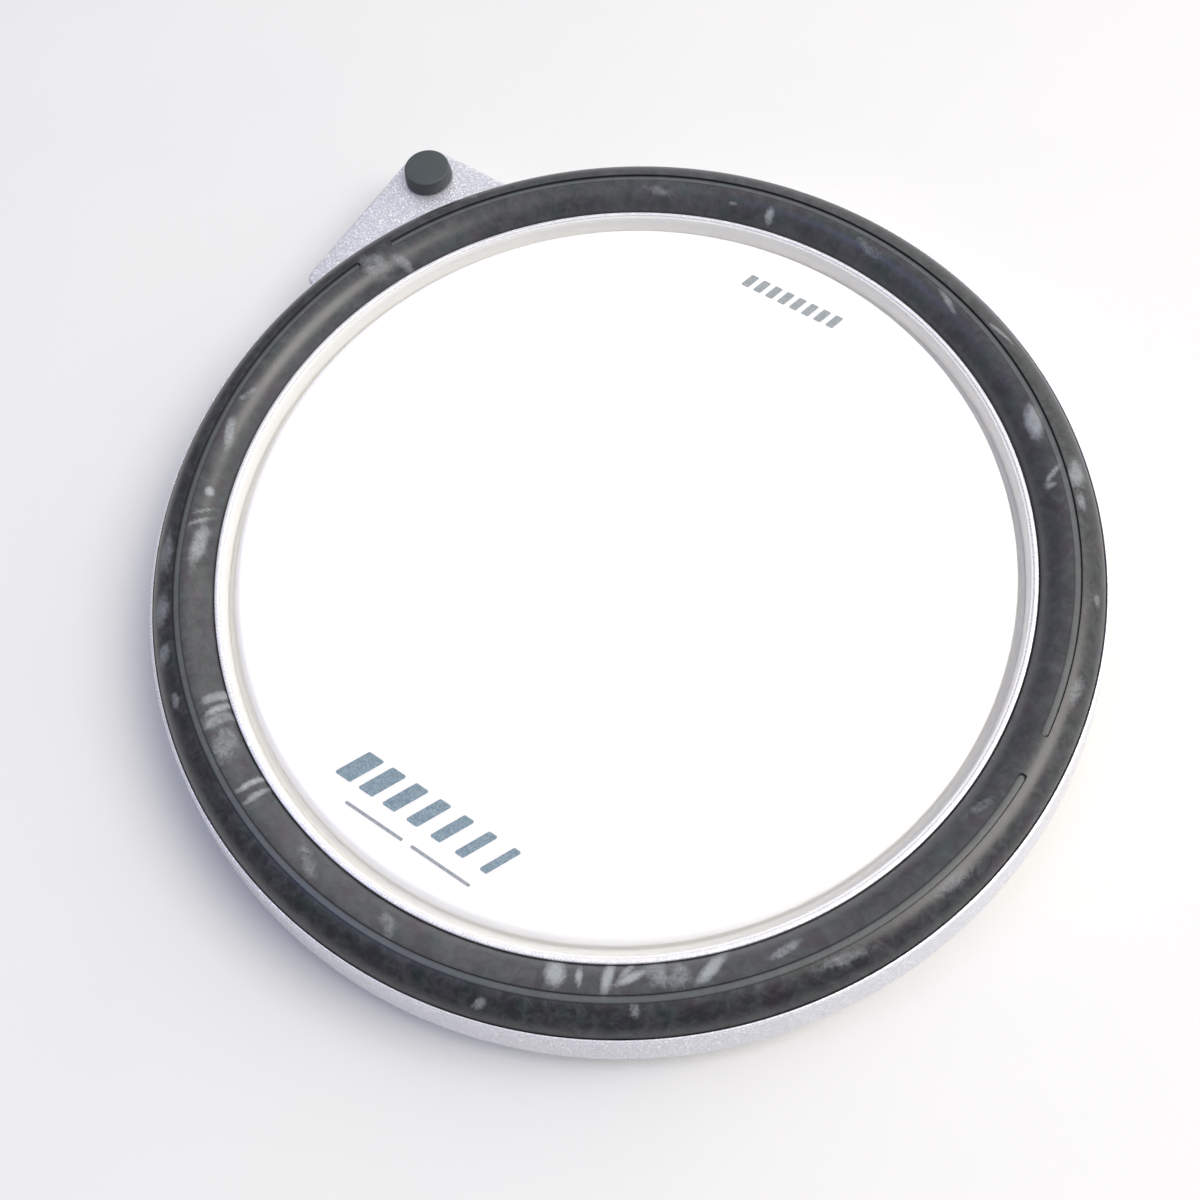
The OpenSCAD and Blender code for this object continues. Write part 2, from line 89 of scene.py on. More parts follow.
def makeCamera():
    # It looks at the target from its azimuth and elevation, then rolls, pans and tilts
    a, e = math.radians(camera["azimuth"]), math.radians(camera["elevation"])
    back = Vector((math.sin(a) * math.cos(e), -math.cos(a) * math.cos(e), math.sin(e)))
    right = Vector((math.cos(a), math.sin(a), 0))
    base = Matrix((right, back.cross(right), back)).transposed()
    aim = (Matrix.Rotation(math.radians(-camera["roll"]), 3, "Z")
           @ Matrix.Rotation(math.radians(camera["pan"]), 3, "Y")
           @ Matrix.Rotation(math.radians(camera["tilt"]), 3, "X"))
    data = bpy.data.cameras.new("camera")
    data.lens, data.sensor_width = camera["lens"], camera["sensorWidth"]
    data.clip_start, data.clip_end = 0.01, 20
    made = bpy.data.objects.new("camera", data)
    bpy.context.scene.collection.objects.link(made)
    place = Vector((0, 0, camera["targetZ"])) + back * camera["distance"]
    made.matrix_world = Matrix.Translation(place * mm) @ (base @ aim).to_4x4()
    bpy.context.scene.camera = made


makeCamera()
print("camera made")

# Light and floor. A light has the direction it comes from, its distance and size in metres, its
# power in watts and its colour
studio = {
    "key": {"from": (0.50, 0.26, 0.82), "distance": 1.5, "size": 0.95, "power": 14, "colour": "#fff8ee"},
    "coolFill": {"from": (-0.31, -0.22, 0.92), "distance": 1.6, "size": 0.3, "power": 1.5,
                 "colour": "#8fa4ff"},
    "skyFrom": (0.32, 0.82, 0.47),     # the sky is brightest on this side, beyond the far right
    "skyBright": 1.3,
    "skyDim": 0.42,
    "skyBrightColour": "#fdfcfb",
    "skyDimColour": "#dfe1f4",
    "floorColour": "#e8e8e4",
    "floorCloudColour": "#e3e4e3",
    "floorHalf": 4000,      # mm from the middle of the floor to each side
}


def linear(hexColour):
    # sRGB hex to linear light, with full opacity
    part = np.array([int(hexColour[i:i + 2], 16) for i in (1, 3, 5)]) / 255
    value = np.where(part <= 0.04045, part / 12.92, ((part + 0.055) / 1.055) ** 2.4)
    return (*value.tolist(), 1.0)


def setNode(node, values):
    # Lower-case keys are the node's own settings; the others are sockets, by name or number.
    # A socket given as a value is linked, and any other value is set on the node's own socket.
    for key, value in values.items():
        if isinstance(key, str) and key.islower():
            setattr(node, key, value)
        elif isinstance(value, bpy.types.NodeSocket):
            node.id_data.links.new(value, node.inputs[key])
        else:
            node.inputs[key].default_value = value
    return node


def addNode(tree, kind, values=None):
    # A new node with its settings and links
    return setNode(tree.nodes.new("ShaderNode" + kind), values or {})


def newMaterial(name):
    # A material with its tree, its shader and a point in object space in millimetres
    material = bpy.data.materials.new(name)
    material.use_nodes = True
    tree = material.node_tree
    shader = tree.nodes["Principled BSDF"]
    where = addNode(tree, "TexCoord").outputs["Object"]
    point = addNode(tree, "VectorMath", {"operation": "SCALE", 0: where, "Scale": 1 / mm})
    return material, tree, shader, point.outputs[0]


def makeStudio():
    # Two round area lights, a sky that brightens smoothly towards skyFrom, and a flat floor
    scene = bpy.context.scene
    scene.view_settings.view_transform = "Standard"
    for name in ("key", "coolFill"):
        light = studio[name]
        data = bpy.data.lights.new(name, "AREA")
        data.shape, data.size = "DISK", light["size"]
        data.energy, data.color = light["power"], linear(light["colour"])[:3]
        made = bpy.data.objects.new(name, data)
        scene.collection.objects.link(made)
        direction = Vector(light["from"]).normalized()
        made.location = direction * light["distance"]
        made.rotation_mode = "QUATERNION"
        made.rotation_quaternion = direction.to_track_quat("Z", "Y")
    world = bpy.data.worlds.new("sky")
    world.use_nodes = True
    sky = world.node_tree.nodes["Background"]
    direction = addNode(world.node_tree, "TexCoord").outputs["Generated"]
    side = addNode(world.node_tree, "VectorMath", {
        "operation": "DOT_PRODUCT", 0: direction, 1: Vector(studio["skyFrom"]).normalized()})
    near = addNode(world.node_tree, "MapRange", {"interpolation_type": "SMOOTHSTEP",
                                                 0: side.outputs["Value"], 1: 0.0, 2: 0.95})
    strength = addNode(world.node_tree, "MapRange", {0: near.outputs[0], 3: studio["skyDim"],
                                                     4: studio["skyBright"]})
    tone = addNode(world.node_tree, "Mix", {"data_type": "RGBA", 0: near.outputs[0],
                                            6: linear(studio["skyDimColour"]),
                                            7: linear(studio["skyBrightColour"])})
    setNode(sky, {"Strength": strength.outputs[0], "Color": tone.outputs[2]})
    scene.world = world
    half = studio["floorHalf"]
    mesh = bpy.data.meshes.new("floor")
    corners = [(-half, -half), (half, -half), (half, half), (-half, half)]
    mesh.from_pydata([(x * mm, y * mm, 0) for x, y in corners], [], [(0, 1, 2, 3)])
    floor = bpy.data.objects.new("floor", mesh)
    scene.collection.objects.link(floor)
    # Matt paper sweep: pale, with broad soft cloudiness
    material, tree, shader, point = newMaterial("mattPaperSweep")
    cloud = addNode(tree, "TexNoise", {"Vector": point, "Scale": 1 / 90, "Detail": 3})
    tone = addNode(tree, "Mix", {"data_type": "RGBA", 0: cloud.outputs[0],
                                 6: linear(studio["floorCloudColour"]),
                                 7: linear(studio["floorColour"])})
    setNode(shader, {"Base Color": tone.outputs[2], "Roughness": 0.95})
    mesh.materials.append(material)


makeStudio()
print("studio made")


def cleanMesh(mesh, nearness=1e-7):
    # Merges points that lie together, takes away edges that carry no face, and closes the odd
    # four-sided gap that a boolean leaves
    clean = bmesh.new()
    clean.from_mesh(mesh)
    bmesh.ops.remove_doubles(clean, verts=clean.verts, dist=nearness)
    bmesh.ops.delete(clean, geom=[edge for edge in clean.edges if edge.is_wire], context="EDGES")
    gaps = [edge for edge in clean.edges if edge.is_boundary]
    if gaps:
        bmesh.ops.holes_fill(clean, edges=gaps, sides=4)
        bmesh.ops.recalc_face_normals(clean, faces=clean.faces)
    clean.to_mesh(mesh)
    clean.free()


def putMesh(name, points, faces, sharpAngle=35):
    # Points in millimetres and faces as index rows become a smooth-shaded object at the origin;
    # edges that turn more than sharpAngle degrees stay crisp
    mesh = bpy.data.meshes.new(name)
    mesh.from_pydata((points * mm).tolist(), [], faces.tolist())
    cleanMesh(mesh)
    mesh.polygons.foreach_set("use_smooth", np.ones(len(mesh.polygons), bool))
    mesh.set_sharp_from_angle(angle=math.radians(sharpAngle))
    made = bpy.data.objects.new(name, mesh)
    bpy.context.scene.collection.objects.link(made)
    return made


def gridFaces(rows, columns, joinColumns=True):
    # Quads over a grid of points; the rows close on themselves, and the columns too if asked
    i, j = np.meshgrid(np.arange(rows), np.arange(columns if joinColumns else columns - 1),
                       indexing="ij")
    nextI, nextJ = (i + 1) % rows, (j + 1) % columns
    quads = np.stack([i * columns + j, nextI * columns + j, nextI * columns + nextJ,
                      i * columns + nextJ], -1)
    return quads.reshape(-1, 4)


def roundedOutline(corners, steps=5):
    # Each corner (x, y, radius) becomes an arc that touches both its sides: with h half the angle
    # between the sides, the arc starts radius / tan(h) from the corner, and its centre lies
    # radius / sin(h) from it
    corners = np.array(corners, float)
    here, radius = corners[:, :2], corners[:, 2:]
    toLast, toNext = np.roll(here, 1, 0) - here, np.roll(here, -1, 0) - here
    toLast /= np.linalg.norm(toLast, axis=1, keepdims=True)
    toNext /= np.linalg.norm(toNext, axis=1, keepdims=True)
    half = np.arccos(np.clip((toLast * toNext).sum(1, keepdims=True), -1, 1)) / 2
    start, end = here + toLast * radius / np.tan(half), here + toNext * radius / np.tan(half)
    middle = toLast + toNext
    centre = here + middle / np.linalg.norm(middle, axis=1, keepdims=True) * radius / np.sin(half)
    sweep = (math.pi - 2 * half)[:, None]
    t = np.linspace(0, 1, steps + 1)[None, :, None]
    arc = (np.sin((1 - t) * sweep) * (start - centre)[:, None]
           + np.sin(t * sweep) * (end - centre)[:, None]) / np.sin(sweep)
    return (centre[:, None] + arc).reshape(-1, 2)


def revolve(profile, steps, joinEnds=True, firstAngle=0):
    # Points (r cos a, r sin a, z) for each angle a and each profile point (r, z), and their faces
    a = (np.linspace(0, turn, steps, endpoint=False) + firstAngle)[:, None]
    r, z = profile[None, :, 0], profile[None, :, 1]
    points = np.stack([r * np.cos(a), r * np.sin(a), z + 0 * a], -1).reshape(-1, 3)
    return points, gridFaces(steps, len(profile), joinEnds)


def turned(name, corners, sharpAngle=35):
    # A closed profile of rounded corners, anticlockwise in (r, z), turned about the pad's axis
    return putMesh(name, *revolve(roundedOutline(corners), 360), sharpAngle)


def cylinder(x, y, z0, z1, r, steps=48):
    # Points and faces of an upright closed cylinder; the half step keeps its points clear of the
    # planes that other round shapes have theirs in
    profile = np.array([(0, z0), (r, z0), (r, z1), (0, z1)])
    points, faces = revolve(profile, steps, False, turn / steps / 2)
    return points + (x, y, 0), faces


def joined(shapes):
    # Several sets of points and faces as one
    starts = np.cumsum([0] + [len(points) for points, faces in shapes[:-1]])
    return (np.concatenate([points for points, faces in shapes]),
            np.concatenate([faces + start for start, (points, faces) in zip(starts, shapes)]))


def around(count, radius, firstAngle=0):
    # Places of count things at one radius, the first at firstAngle degrees
    a = np.radians(firstAngle) + turn * np.arange(count) / count
    return list(zip(radius * np.cos(a), radius * np.sin(a)))


def carve(piece, tool, operation):
    # Joins the tool to the piece, or cuts it out, for good, and removes the tool
    change = piece.modifiers.new("carve", "BOOLEAN")
    change.object, change.operation, change.solver = tool, operation, "EXACT"
    bpy.context.view_layer.update()
    result = bpy.data.meshes.new_from_object(
        piece.evaluated_get(bpy.context.evaluated_depsgraph_get()))
    piece.modifiers.clear()
    piece.data = result
    bpy.data.objects.remove(tool)


# Upper casing: the lip, the rim's channel, the side wall and the corner tab
casing = {
    "footInset": 5.8,      # the wall's foot stands in from the widest line
    "wall": 2.2,
    "beltZ": 10.0,
    "beltRound": 6.0,      # radius of the soft turn at the widest line
    "channelZ": 16.5,
    "channelT": 2.0,
    "ledgeZ": 14.5,
    "ledgeInR": 98.8,
    "lipInR": 120.1,
    "lipOutR": 121.6,
    "rimOutR": 140.3,
    "topZ": 25.2,
    "tabTopZ": 22.6,
    "tabNearY": 27.0,
    "tabFarY": 94.5,
    "tabCorner": 8.0,
    "tabNearCorner": 4.0,
    "tabEdge": 0.9,        # radius of the tab's top edge
    "tabRightX": -90.0,
    "bosses": 6,           # for the cover's screws
    "bossRingR": 125,
    "bossAngle": 30,       # degrees of the first
    "bossR": 3.8,
    "bossHoleR": 1.5,
    "stems": 8,            # of the rubber rim, each in its own hole
    "stemRingR": 135,
    "stemHoleR": 3.2,
    "isolators": 6,        # under the head, each in its own hole
    "isolatorRingR": 104.3,
    "isolatorHoleR": 2.5,
    "shaftHoleR": 4,
    "jackHoleR": 4.75,
}


def tabRing(inset, z):
    # The tab's outline pulled in by inset, at height z
    c = casing
    left, right = low("upper_casing")[0] + inset, c["tabRightX"] - inset
    near, far = c["tabNearY"] + inset, c["tabFarY"] - inset
    outline = roundedOutline([
        (right, near, 1), (right, far, 1), (left, far, c["tabCorner"] - inset),
        (left, near, c["tabNearCorner"] - inset)], 12)
    return np.column_stack([outline, np.full(len(outline), z)])


def tabSolid(rings):
    # Rings of (inset, z), joined into a closed solid whose ends shrink to a point
    loops = [tabRing(inset, z) for inset, z in rings]
    ends = [np.tile(loop.mean(0), (len(loop), 1)) for loop in (loops[0], loops[-1])]
    loops = [ends[0]] + loops + [ends[1]]
    points = np.stack(loops, 1).reshape(-1, 3)
    return points, gridFaces(len(loops[0]), len(loops), False)


def makeCasing():
    # One closed profile turned about the axis; the tab and the bosses are joined to it, and the
    # openings are cut out
    c = casing
    belt = high("upper_casing")[0]
    foot, under, footZ = belt - c["footInset"], c["channelZ"] - c["channelT"], low("upper_casing")[2]
    ledgeUnder = c["ledgeZ"] - c["channelT"]
    ring = turned("upperCasing", [
        (c["ledgeInR"], ledgeUnder, 0.2), (c["lipOutR"], ledgeUnder, 0.2),
        (c["lipOutR"], under, 0.2), (c["rimOutR"] - 0.4, under, 0.3),
        (belt - c["wall"] - 0.1, c["beltZ"], 2), (foot - c["wall"], footZ + 2, 0.5),
        (foot - c["wall"], footZ, 0.1), (foot, footZ, 0.4), (belt + 0.5, c["beltZ"] - 0.2, c["beltRound"]),
        (belt - 2.85, c["topZ"], 0.75), (c["rimOutR"], c["topZ"], 0.2),
        (c["rimOutR"], c["channelZ"], 0.2), (c["lipOutR"], c["channelZ"], 0.2),
        (c["lipOutR"], c["topZ"] + 0.1, 0.45), (c["lipInR"], c["topZ"] + 0.1, 0.45),
        (c["lipInR"], c["ledgeZ"], 0.2), (c["ledgeInR"], c["ledgeZ"], 0.2)])
    # The tab is a cup with a soft top edge; the round rim's channel is cut out of it
    bend = np.linspace(0, math.pi / 2, 6)
    edge = [(c["tabEdge"] * (1 - math.cos(a)), c["tabTopZ"] - c["tabEdge"] * (1 - math.sin(a)))
            for a in bend]
    tab = putMesh("tab", *tabSolid([(0, footZ)] + edge))
    hollow = putMesh("tabHollow", *tabSolid([
        (c["wall"], footZ - 1), (c["wall"], c["tabTopZ"] - c["wall"])]))
    carve(tab, hollow, "DIFFERENCE")
    carve(tab, putMesh("tabClear", *cylinder(0, 0, 0, 30, c["rimOutR"] + 0.3, 360)), "DIFFERENCE")
    # Inside the tab the round wall is open, so that the control and the jack have room
    opening = putMesh("opening", *tabSolid([(c["wall"], footZ - 1), (c["wall"], under)]))
    carve(opening, putMesh("keep", *cylinder(0, 0, 0, 30, c["lipOutR"] + 0.5, 360)), "DIFFERENCE")
    carve(ring, opening, "DIFFERENCE")
    carve(ring, tab, "UNION")
    bossPlaces = around(c["bosses"], c["bossRingR"], c["bossAngle"])
    bosses = [cylinder(x, y, footZ + 2, under + 0.5, c["bossR"]) for x, y in bossPlaces]
    carve(ring, putMesh("bosses", *joined(bosses)), "UNION")
    holes = [cylinder(x, y, 0, under - 1.5, c["bossHoleR"]) for x, y in bossPlaces]
    holes += [cylinder(x, y, under - 1, c["channelZ"] + 1, c["stemHoleR"])
              for x, y in around(c["stems"], c["stemRingR"])]
    holes += [cylinder(x, y, ledgeUnder - 1, c["ledgeZ"] + 1, c["isolatorHoleR"])
              for x, y in around(c["isolators"], c["isolatorRingR"])]
    knobX, knobY = (low("control_knob") + high("control_knob"))[:2] / 2
    holes.append(cylinder(knobX, knobY, c["tabTopZ"] - 4, c["tabTopZ"] + 1, c["shaftHoleR"]))
    carve(ring, putMesh("holes", *joined(holes)), "DIFFERENCE")
    jackY, jackZ = (low("jack_nose") + high("jack_nose"))[1:] / 2
    points, faces = cylinder(0, 0, -belt - 1, -belt + c["wall"] + 1, c["jackHoleR"], 64)
    lying = np.column_stack([points[:, 2], points[:, 0] + jackY, points[:, 1] + jackZ])
    carve(ring, putMesh("jackHole", lying, faces), "DIFFERENCE")
    cleanMesh(ring.data, 1e-6)
    ring.data.polygons.foreach_set("use_smooth", np.ones(len(ring.data.polygons), bool))
    ring.data.set_sharp_from_angle(angle=math.radians(35))
    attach(ring, "base")
    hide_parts("upper_casing")
    return ring


upperCasing = makeCasing()
print("casing made")

# Rubber rim: a crown with a groove that stops at the two borders of its zones
rim = {
    "halfWidth": 9.1,        # of the crown, which is one arc
    "grooveWidth": 2.0,
    "grooveDepth": 0.7,
    "grooveWall": 0.14,      # how far each wall of the groove leans
    "creaseWidth": 0.38,     # painted shade: a dark line along each edge of the groove
    "zoneRight": 1.6,        # degrees: the two borders of the zones, where the groove stops
    "zoneLeft": 160.6,
    "zoneGap": 5.4,
    "wallTopZ": 24.6,
    "midInset": 9.05,        # the groove's middle line stands in from the rim's widest line
    "crownStep": 0.4,        # how far the crown's ends stand over the walls
    "ribFrom": 5.2,          # rib on the underside that presses the film switches
    "ribTo": 7.2,
    "ribHeight": 0.6,
    "stemR": 2.5,
}
# Scuffs where sticks and fingers have left chalky rubber, each as degrees round the rim, mm
# outwards from the groove, half length, half width, lean in degrees from the rim's line, strength
scuffs = [
    (296.1, -6.0, 3.4, 2.6, 70, 1.0), (299.0, -5.7, 2.8, 0.9, 85, 0.8), (302.4, -6.0, 4.7, 1.4, 100, 1.0),
    (305.2, -5.6, 4.2, 1.2, -24, 0.9), (304.6, -7.4, 2.6, 0.9, -44, 0.8), (308.3, -6.6, 4.6, 3.2, 60, 0.55),
    (310.6, -5.4, 3.4, 3.0, 90, 0.5), (314.8, -5.8, 5.4, 1.5, -36, 1.0), (305.4, 2.6, 2.0, 1.3, 80, 0.5),
    (288.4, 5.4, 2.2, 1.2, -40, 0.55), (323.4, -4.6, 4.4, 1.2, -10, 0.6), (48.2, -2.9, 5.2, 2.1, 8, 1.0),
    (40.4, -2.8, 3.9, 0.7, 46, 0.8), (38.8, -4.4, 1.5, 0.9, 90, 0.8), (39.8, 3.6, 4.8, 2.6, 20, 0.6),
    (36.0, 3.0, 3.0, 1.3, 0, 0.5), (235.6, -7.0, 4.2, 1.4, 70, 0.75), (237.4, -6.4, 4.0, 1.0, 66, 0.8),
    (239.0, -5.6, 4.6, 1.8, 74, 0.55), (242.6, -4.8, 6.0, 3.0, 30, 0.45), (249.0, -6.0, 4.2, 0.9, 78, 0.9),
    (250.8, -5.6, 4.4, 0.9, 78, 0.75), (212.9, -5.2, 6.8, 1.8, 8, 0.65), (209.4, -4.4, 4.0, 0.7, 56, 0.6),
    (207.8, -4.8, 3.4, 0.6, 56, 0.5), (204.8, -5.0, 1.5, 1.2, 0, 0.85), (214.0, 4.2, 7.0, 2.2, 0, 0.45),
    (222.0, 4.6, 5.4, 2.4, 10, 0.5), (228.0, 5.0, 3.4, 2.0, 30, 0.5), (234.5, 4.0, 2.2, 1.3, 10, 0.6),
    (195.4, -4.2, 5.2, 1.3, -12, 0.7), (189.0, -3.4, 4.0, 1.0, 20, 0.45), (99.8, -6.2, 2.0, 1.4, 80, 0.8),
    (105.6, -5.6, 1.6, 0.5, 0, 0.6), (117.0, -4.6, 5.0, 1.2, 12, 0.35), (70.0, -2.6, 5.0, 0.8, 12, 0.6),
    (62.0, 3.4, 5.0, 0.8, -14, 0.55), (161.5, -3.0, 5.0, 4.2, 20, 0.45), (157.8, -6.8, 3.6, 1.8, 60, 0.45),
    (11.0, 3.8, 4.2, 1.8, 5, 0.4), (23.0, 5.4, 2.0, 1.0, 0, 0.4), (343.8, 3.0, 7.0, 2.0, 4, 0.35),
    (353.0, -4.4, 5.0, 1.6, 20, 0.35), (329.0, 3.4, 8.0, 1.4, 6, 0.4), (275.0, -4.4, 5.0, 2.0, 40, 0.35),
    (262.0, -5.0, 6.0, 1.6, 24, 0.35), (84.0, -4.0, 6.0, 1.6, 10, 0.3), (144.0, 4.8, 2.4, 1.0, 50, 0.4),
]


def rimAngles():
    # Even steps all round, and fine ones at the four rounded ends of the groove
    ends = [rim[zone] + side * rim["zoneGap"] / 2
            for zone in ("zoneRight", "zoneLeft") for side in (-1, 1)]
    fine = np.concatenate([end + np.linspace(-0.75, 0.75, 25) for end in ends])
    even = np.arange(0, 360, 0.36)
    clear = np.abs((even[:, None] - fine[None] + 180) % 360 - 180).min(1) > 0.1
    return np.sort(np.concatenate([even[clear], fine % 360]))


def grooveReach(degrees, across):
    # Distance in mm from the groove's middle line, which stops short of each border of the zones
    r = (rim["zoneGap"] / 2) + np.degrees(rim["grooveWidth"] / 2 / rimMidR)
    away = np.stack([np.abs((degrees - rim[zone] + 180) % 360 - 180)
                     for zone in ("zoneRight", "zoneLeft")]).min(0)
    past = np.clip(r - away, 0, None) * np.radians(1) * rimMidR
    return np.hypot(past, across)


def grooveShare(degrees, across):
    # 1 on the groove's floor and 0 outside it
    reach = grooveReach(degrees, across)
    return np.clip((rim["grooveWidth"] / 2 - reach) / rim["grooveWall"] + 0.5, 0, 1)


def creaseShare(degrees, across):
    # 1 at the groove's upper edge, fading out over creaseWidth on both sides of it
    share = grooveReach(degrees, across) - rim["grooveWidth"] / 2
    return np.clip(1 - np.abs(share) / rim["creaseWidth"], 0, 1)


def chalkShare(degrees, across):
    # Each scuff is 1 at its middle and fades to 0 at one and a half times its size; the strongest wins
    total = np.zeros(degrees.shape)
    for angle, out, length, width, lean, strength in scuffs:
        along = ((degrees - angle + 180) % 360 - 180) * np.radians(1) * rimMidR
        lean = math.radians(lean)
        u = along * math.cos(lean) + (across - out) * math.sin(lean)
        v = (across - out) * math.cos(lean) - along * math.sin(lean)
        total = np.maximum(total, strength * np.clip(1.5 - np.hypot(u / length, v / width), 0, 1))
    return total


rimOutR, rimTopZ = high("rim_rubber")[0], high("rim_rubber")[2]
rimBaseZ = high("rim_cushions")[2]
rimMidR = rimOutR - rim["midInset"]


def makeRim():
    # Across the rim the crown is an arc of radius (half^2 + rise^2) / (2 rise), lowered by the
    # groove's depth times its share; this profile is carried round the axis
    half, wallTop = rim["halfWidth"], rim["wallTopZ"]
    rise = rimTopZ - wallTop - rim["crownStep"]
    crownR = (half ** 2 + rise ** 2) / (2 * rise)
    groove = rim["grooveWidth"] / 2
    wall = rim["grooveWall"] / 2
    side = np.concatenate([[groove - 0.45, groove - wall, groove + wall, groove + 0.45],
                           np.linspace(groove + 0.8, half, 20)])
    across = np.concatenate([side, [0], -side])
    across = np.sort(across)[::-1]          # outside first, over the crown, to the inside
    crown = rimTopZ - crownR + np.sqrt(crownR ** 2 - across ** 2)
    angles = rimAngles()
    share = grooveShare(angles[:, None], across[None])
    crownZ = crown[None] - rim["grooveDepth"] * share
    # Below the crown: the inner wall, the underside with its pressing rib, and the outer wall
    ribFrom, ribTo = -half + rim["ribFrom"], -half + rim["ribTo"]
    rest = roundedOutline([
        (-half + 0.04, wallTop, 0.2), (-half + 0.05, rimBaseZ, 0.3), (ribFrom, rimBaseZ, 0.1),
        (ribFrom, rimBaseZ - rim["ribHeight"], 0.2), (ribTo, rimBaseZ - rim["ribHeight"], 0.2),
        (ribTo, rimBaseZ, 0.1), (half - 0.05, rimBaseZ, 0.3), (half - 0.04, wallTop, 0.2)], 3)
    count = len(angles)
    u = np.concatenate([np.tile(across, (count, 1)), np.tile(rest[:, 0], (count, 1))], 1)
    z = np.concatenate([crownZ, np.tile(rest[:, 1], (count, 1))], 1)
    a = np.radians(angles)[:, None]
    r = rimMidR + u
    points = np.stack([r * np.cos(a), r * np.sin(a), z], -1).reshape(-1, 3)
    body = points, gridFaces(count, u.shape[1])
    stems = [cylinder(x, y, low("rim_rubber")[2], rimBaseZ + 0.5, rim["stemR"])
             for x, y in around(casing["stems"], casing["stemRingR"])]
    made = putMesh("rimRubber", *joined([body] + stems), sharpAngle=50)
    co = np.empty(len(made.data.vertices) * 3)
    made.data.vertices.foreach_get("co", co)
    x, y, z = co.reshape(-1, 3).T / mm
    degrees, across = np.degrees(np.arctan2(y, x)) % 360, np.hypot(x, y) - rimMidR
    # Shares on the points: chalk scuffs, the groove's floor (painted highlight), its edges (painted shade)
    # and the inner slope (painted light)
    for name, value in (("chalk", chalkShare(degrees, across) * (z > wallTop - 1)),
                        ("groove", grooveShare(degrees, across) * (z > wallTop)),
                        ("crease", creaseShare(degrees, across) * (z > wallTop)),
                        ("paintedInnerLight", np.clip(0.45 - across / 7, 0, 1))):
        layer = made.data.attributes.new(name, "FLOAT", "POINT")
        layer.data.foreach_set("value", value.astype(np.float32))
    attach(made, "rim")
    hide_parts("rim_rubber")
    return made


rimRubber = makeRim()
print("rim made")

# Playing head, the wall of the moat round it, and the web that joins them
head = {
    "flatR": 114.0,
    "skin": 3.0,
    "hemWidth": 3.0,
    "moatDepth": 6.2,
    "moatFloorZ": 17.8,
    "wall": 0.9,
    "web": 0.5,              # thickness of the flexible web that is the moat's floor
    "webReach": 35.0,        # degrees of the shoulder's ellipse that the web covers
    "webSpread": 1.6,        # mm: how far the web's outer side runs out as it falls to the floor
    "fillet": 1.1,
    "slip": 0.02,            # clear space between the web and what it lies against
}


def makeHead():
    # One closed profile turned about the axis: the shoulder, the flat top, then the underside
    h = head
    outR, topZ, plateR = high("playing_head")[0], high("playing_head")[2], high("head_plate")[0] + 0.1
    hemZ, plateZ = low("playing_head")[2], low("head_plate")[2]
    under = topZ - h["skin"]
    # The shoulder is a quarter ellipse from the upright side to the flat top
    a = np.linspace(0, math.pi / 2, 22)
    shoulder = np.column_stack([h["flatR"] + (outR - h["flatR"]) * np.cos(a),
                                topZ - h["moatDepth"] * (1 - np.sin(a))])
    flat = np.column_stack([np.linspace(h["flatR"] - 1, 0, 30), np.full(30, topZ)])
    inside = np.array([(0, under), (plateR, under), (plateR, plateZ), (plateR - h["hemWidth"], plateZ),
                       (plateR - h["hemWidth"], hemZ), (outR - 0.3, hemZ), (outR, hemZ + 0.3)])
    profile = np.concatenate([shoulder, flat, inside])
    made = putMesh("playingHead", *revolve(profile, 360), 60)
    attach(made, "head")
    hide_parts("playing_head")
    return made


def makeMoatWall():
    # The moat's upright outer wall and its foot, one closed profile turned about the axis
    inR, outR, topZ = high("playing_head")[0] + 0.3, high("head_surround")[0], high("head_surround")[2]
    floorZ, underZ = head["moatFloorZ"] - head["web"], low("head_surround")[2]
    wallR = outR - head["wall"]
    made = turned("moatWall", [
        (inR, underZ, 0.1), (outR, underZ, 0.1), (outR, topZ, 0.12), (outR - 0.55, topZ, 0.2),
        (wallR, topZ - 1.2, 0.5), (wallR, floorZ, 0.1), (inR, floorZ, 0.1)], sharpAngle=60)
    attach(made, "base")
    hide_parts("head_surround")
    return made


def makeMoatWeb():
    # The thin web of the moulding between the moving head and its fixed surround. Its inner side
    # hugs the head's shoulder, and its outer side is a quarter ellipse down to the moat's floor
    h = head
    outR, topZ = high("playing_head")[0], high("playing_head")[2]
    wallR, floorZ = high("head_surround")[0] - h["wall"] - h["slip"], h["moatFloorZ"]
    a = np.linspace(0, math.radians(h["webReach"]), 12)
    hug = np.column_stack([h["flatR"] + (outR - h["flatR"]) * np.cos(a) + h["slip"],
                           floorZ + h["moatDepth"] * np.sin(a)])
    feather = hug[-1] + (h["slip"], 0)
    b = np.linspace(0, math.pi / 2, 12)[1:]
    wide, tall = h["webSpread"], feather[1] - floorZ
    foot = feather[0] + wide
    fall = np.column_stack([foot - wide * np.cos(b), floorZ + tall * (1 - np.sin(b))])
    share = (fall[:, 1] - floorZ) / tall
    fall[:, 0] = np.maximum(fall[:, 0], outR + 2 * h["slip"] - (outR - feather[0]) * share)
    rise = np.column_stack([wallR - h["fillet"] * (1 - np.sin(b)), floorZ + h["fillet"] * (1 - np.cos(b))])
    under = np.array([(wallR, floorZ - h["web"] + 0.05), (outR + h["slip"], floorZ - h["web"] + 0.05)])
    profile = np.concatenate([hug, [feather], fall, rise, under])[::-1]
    made = putMesh("moatWeb", *revolve(profile, 360), 60)
    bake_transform(made)
    return made


playingHead, moatWall, moatWeb = makeHead(), makeMoatWall(), makeMoatWeb()
print("head made")

# Control knob
knob = {"bevel": 0.55, "skirt": 0.8, "topR": 7.6, "boreR": 6.3, "shaftR": 3.0, "recess": 2.5}


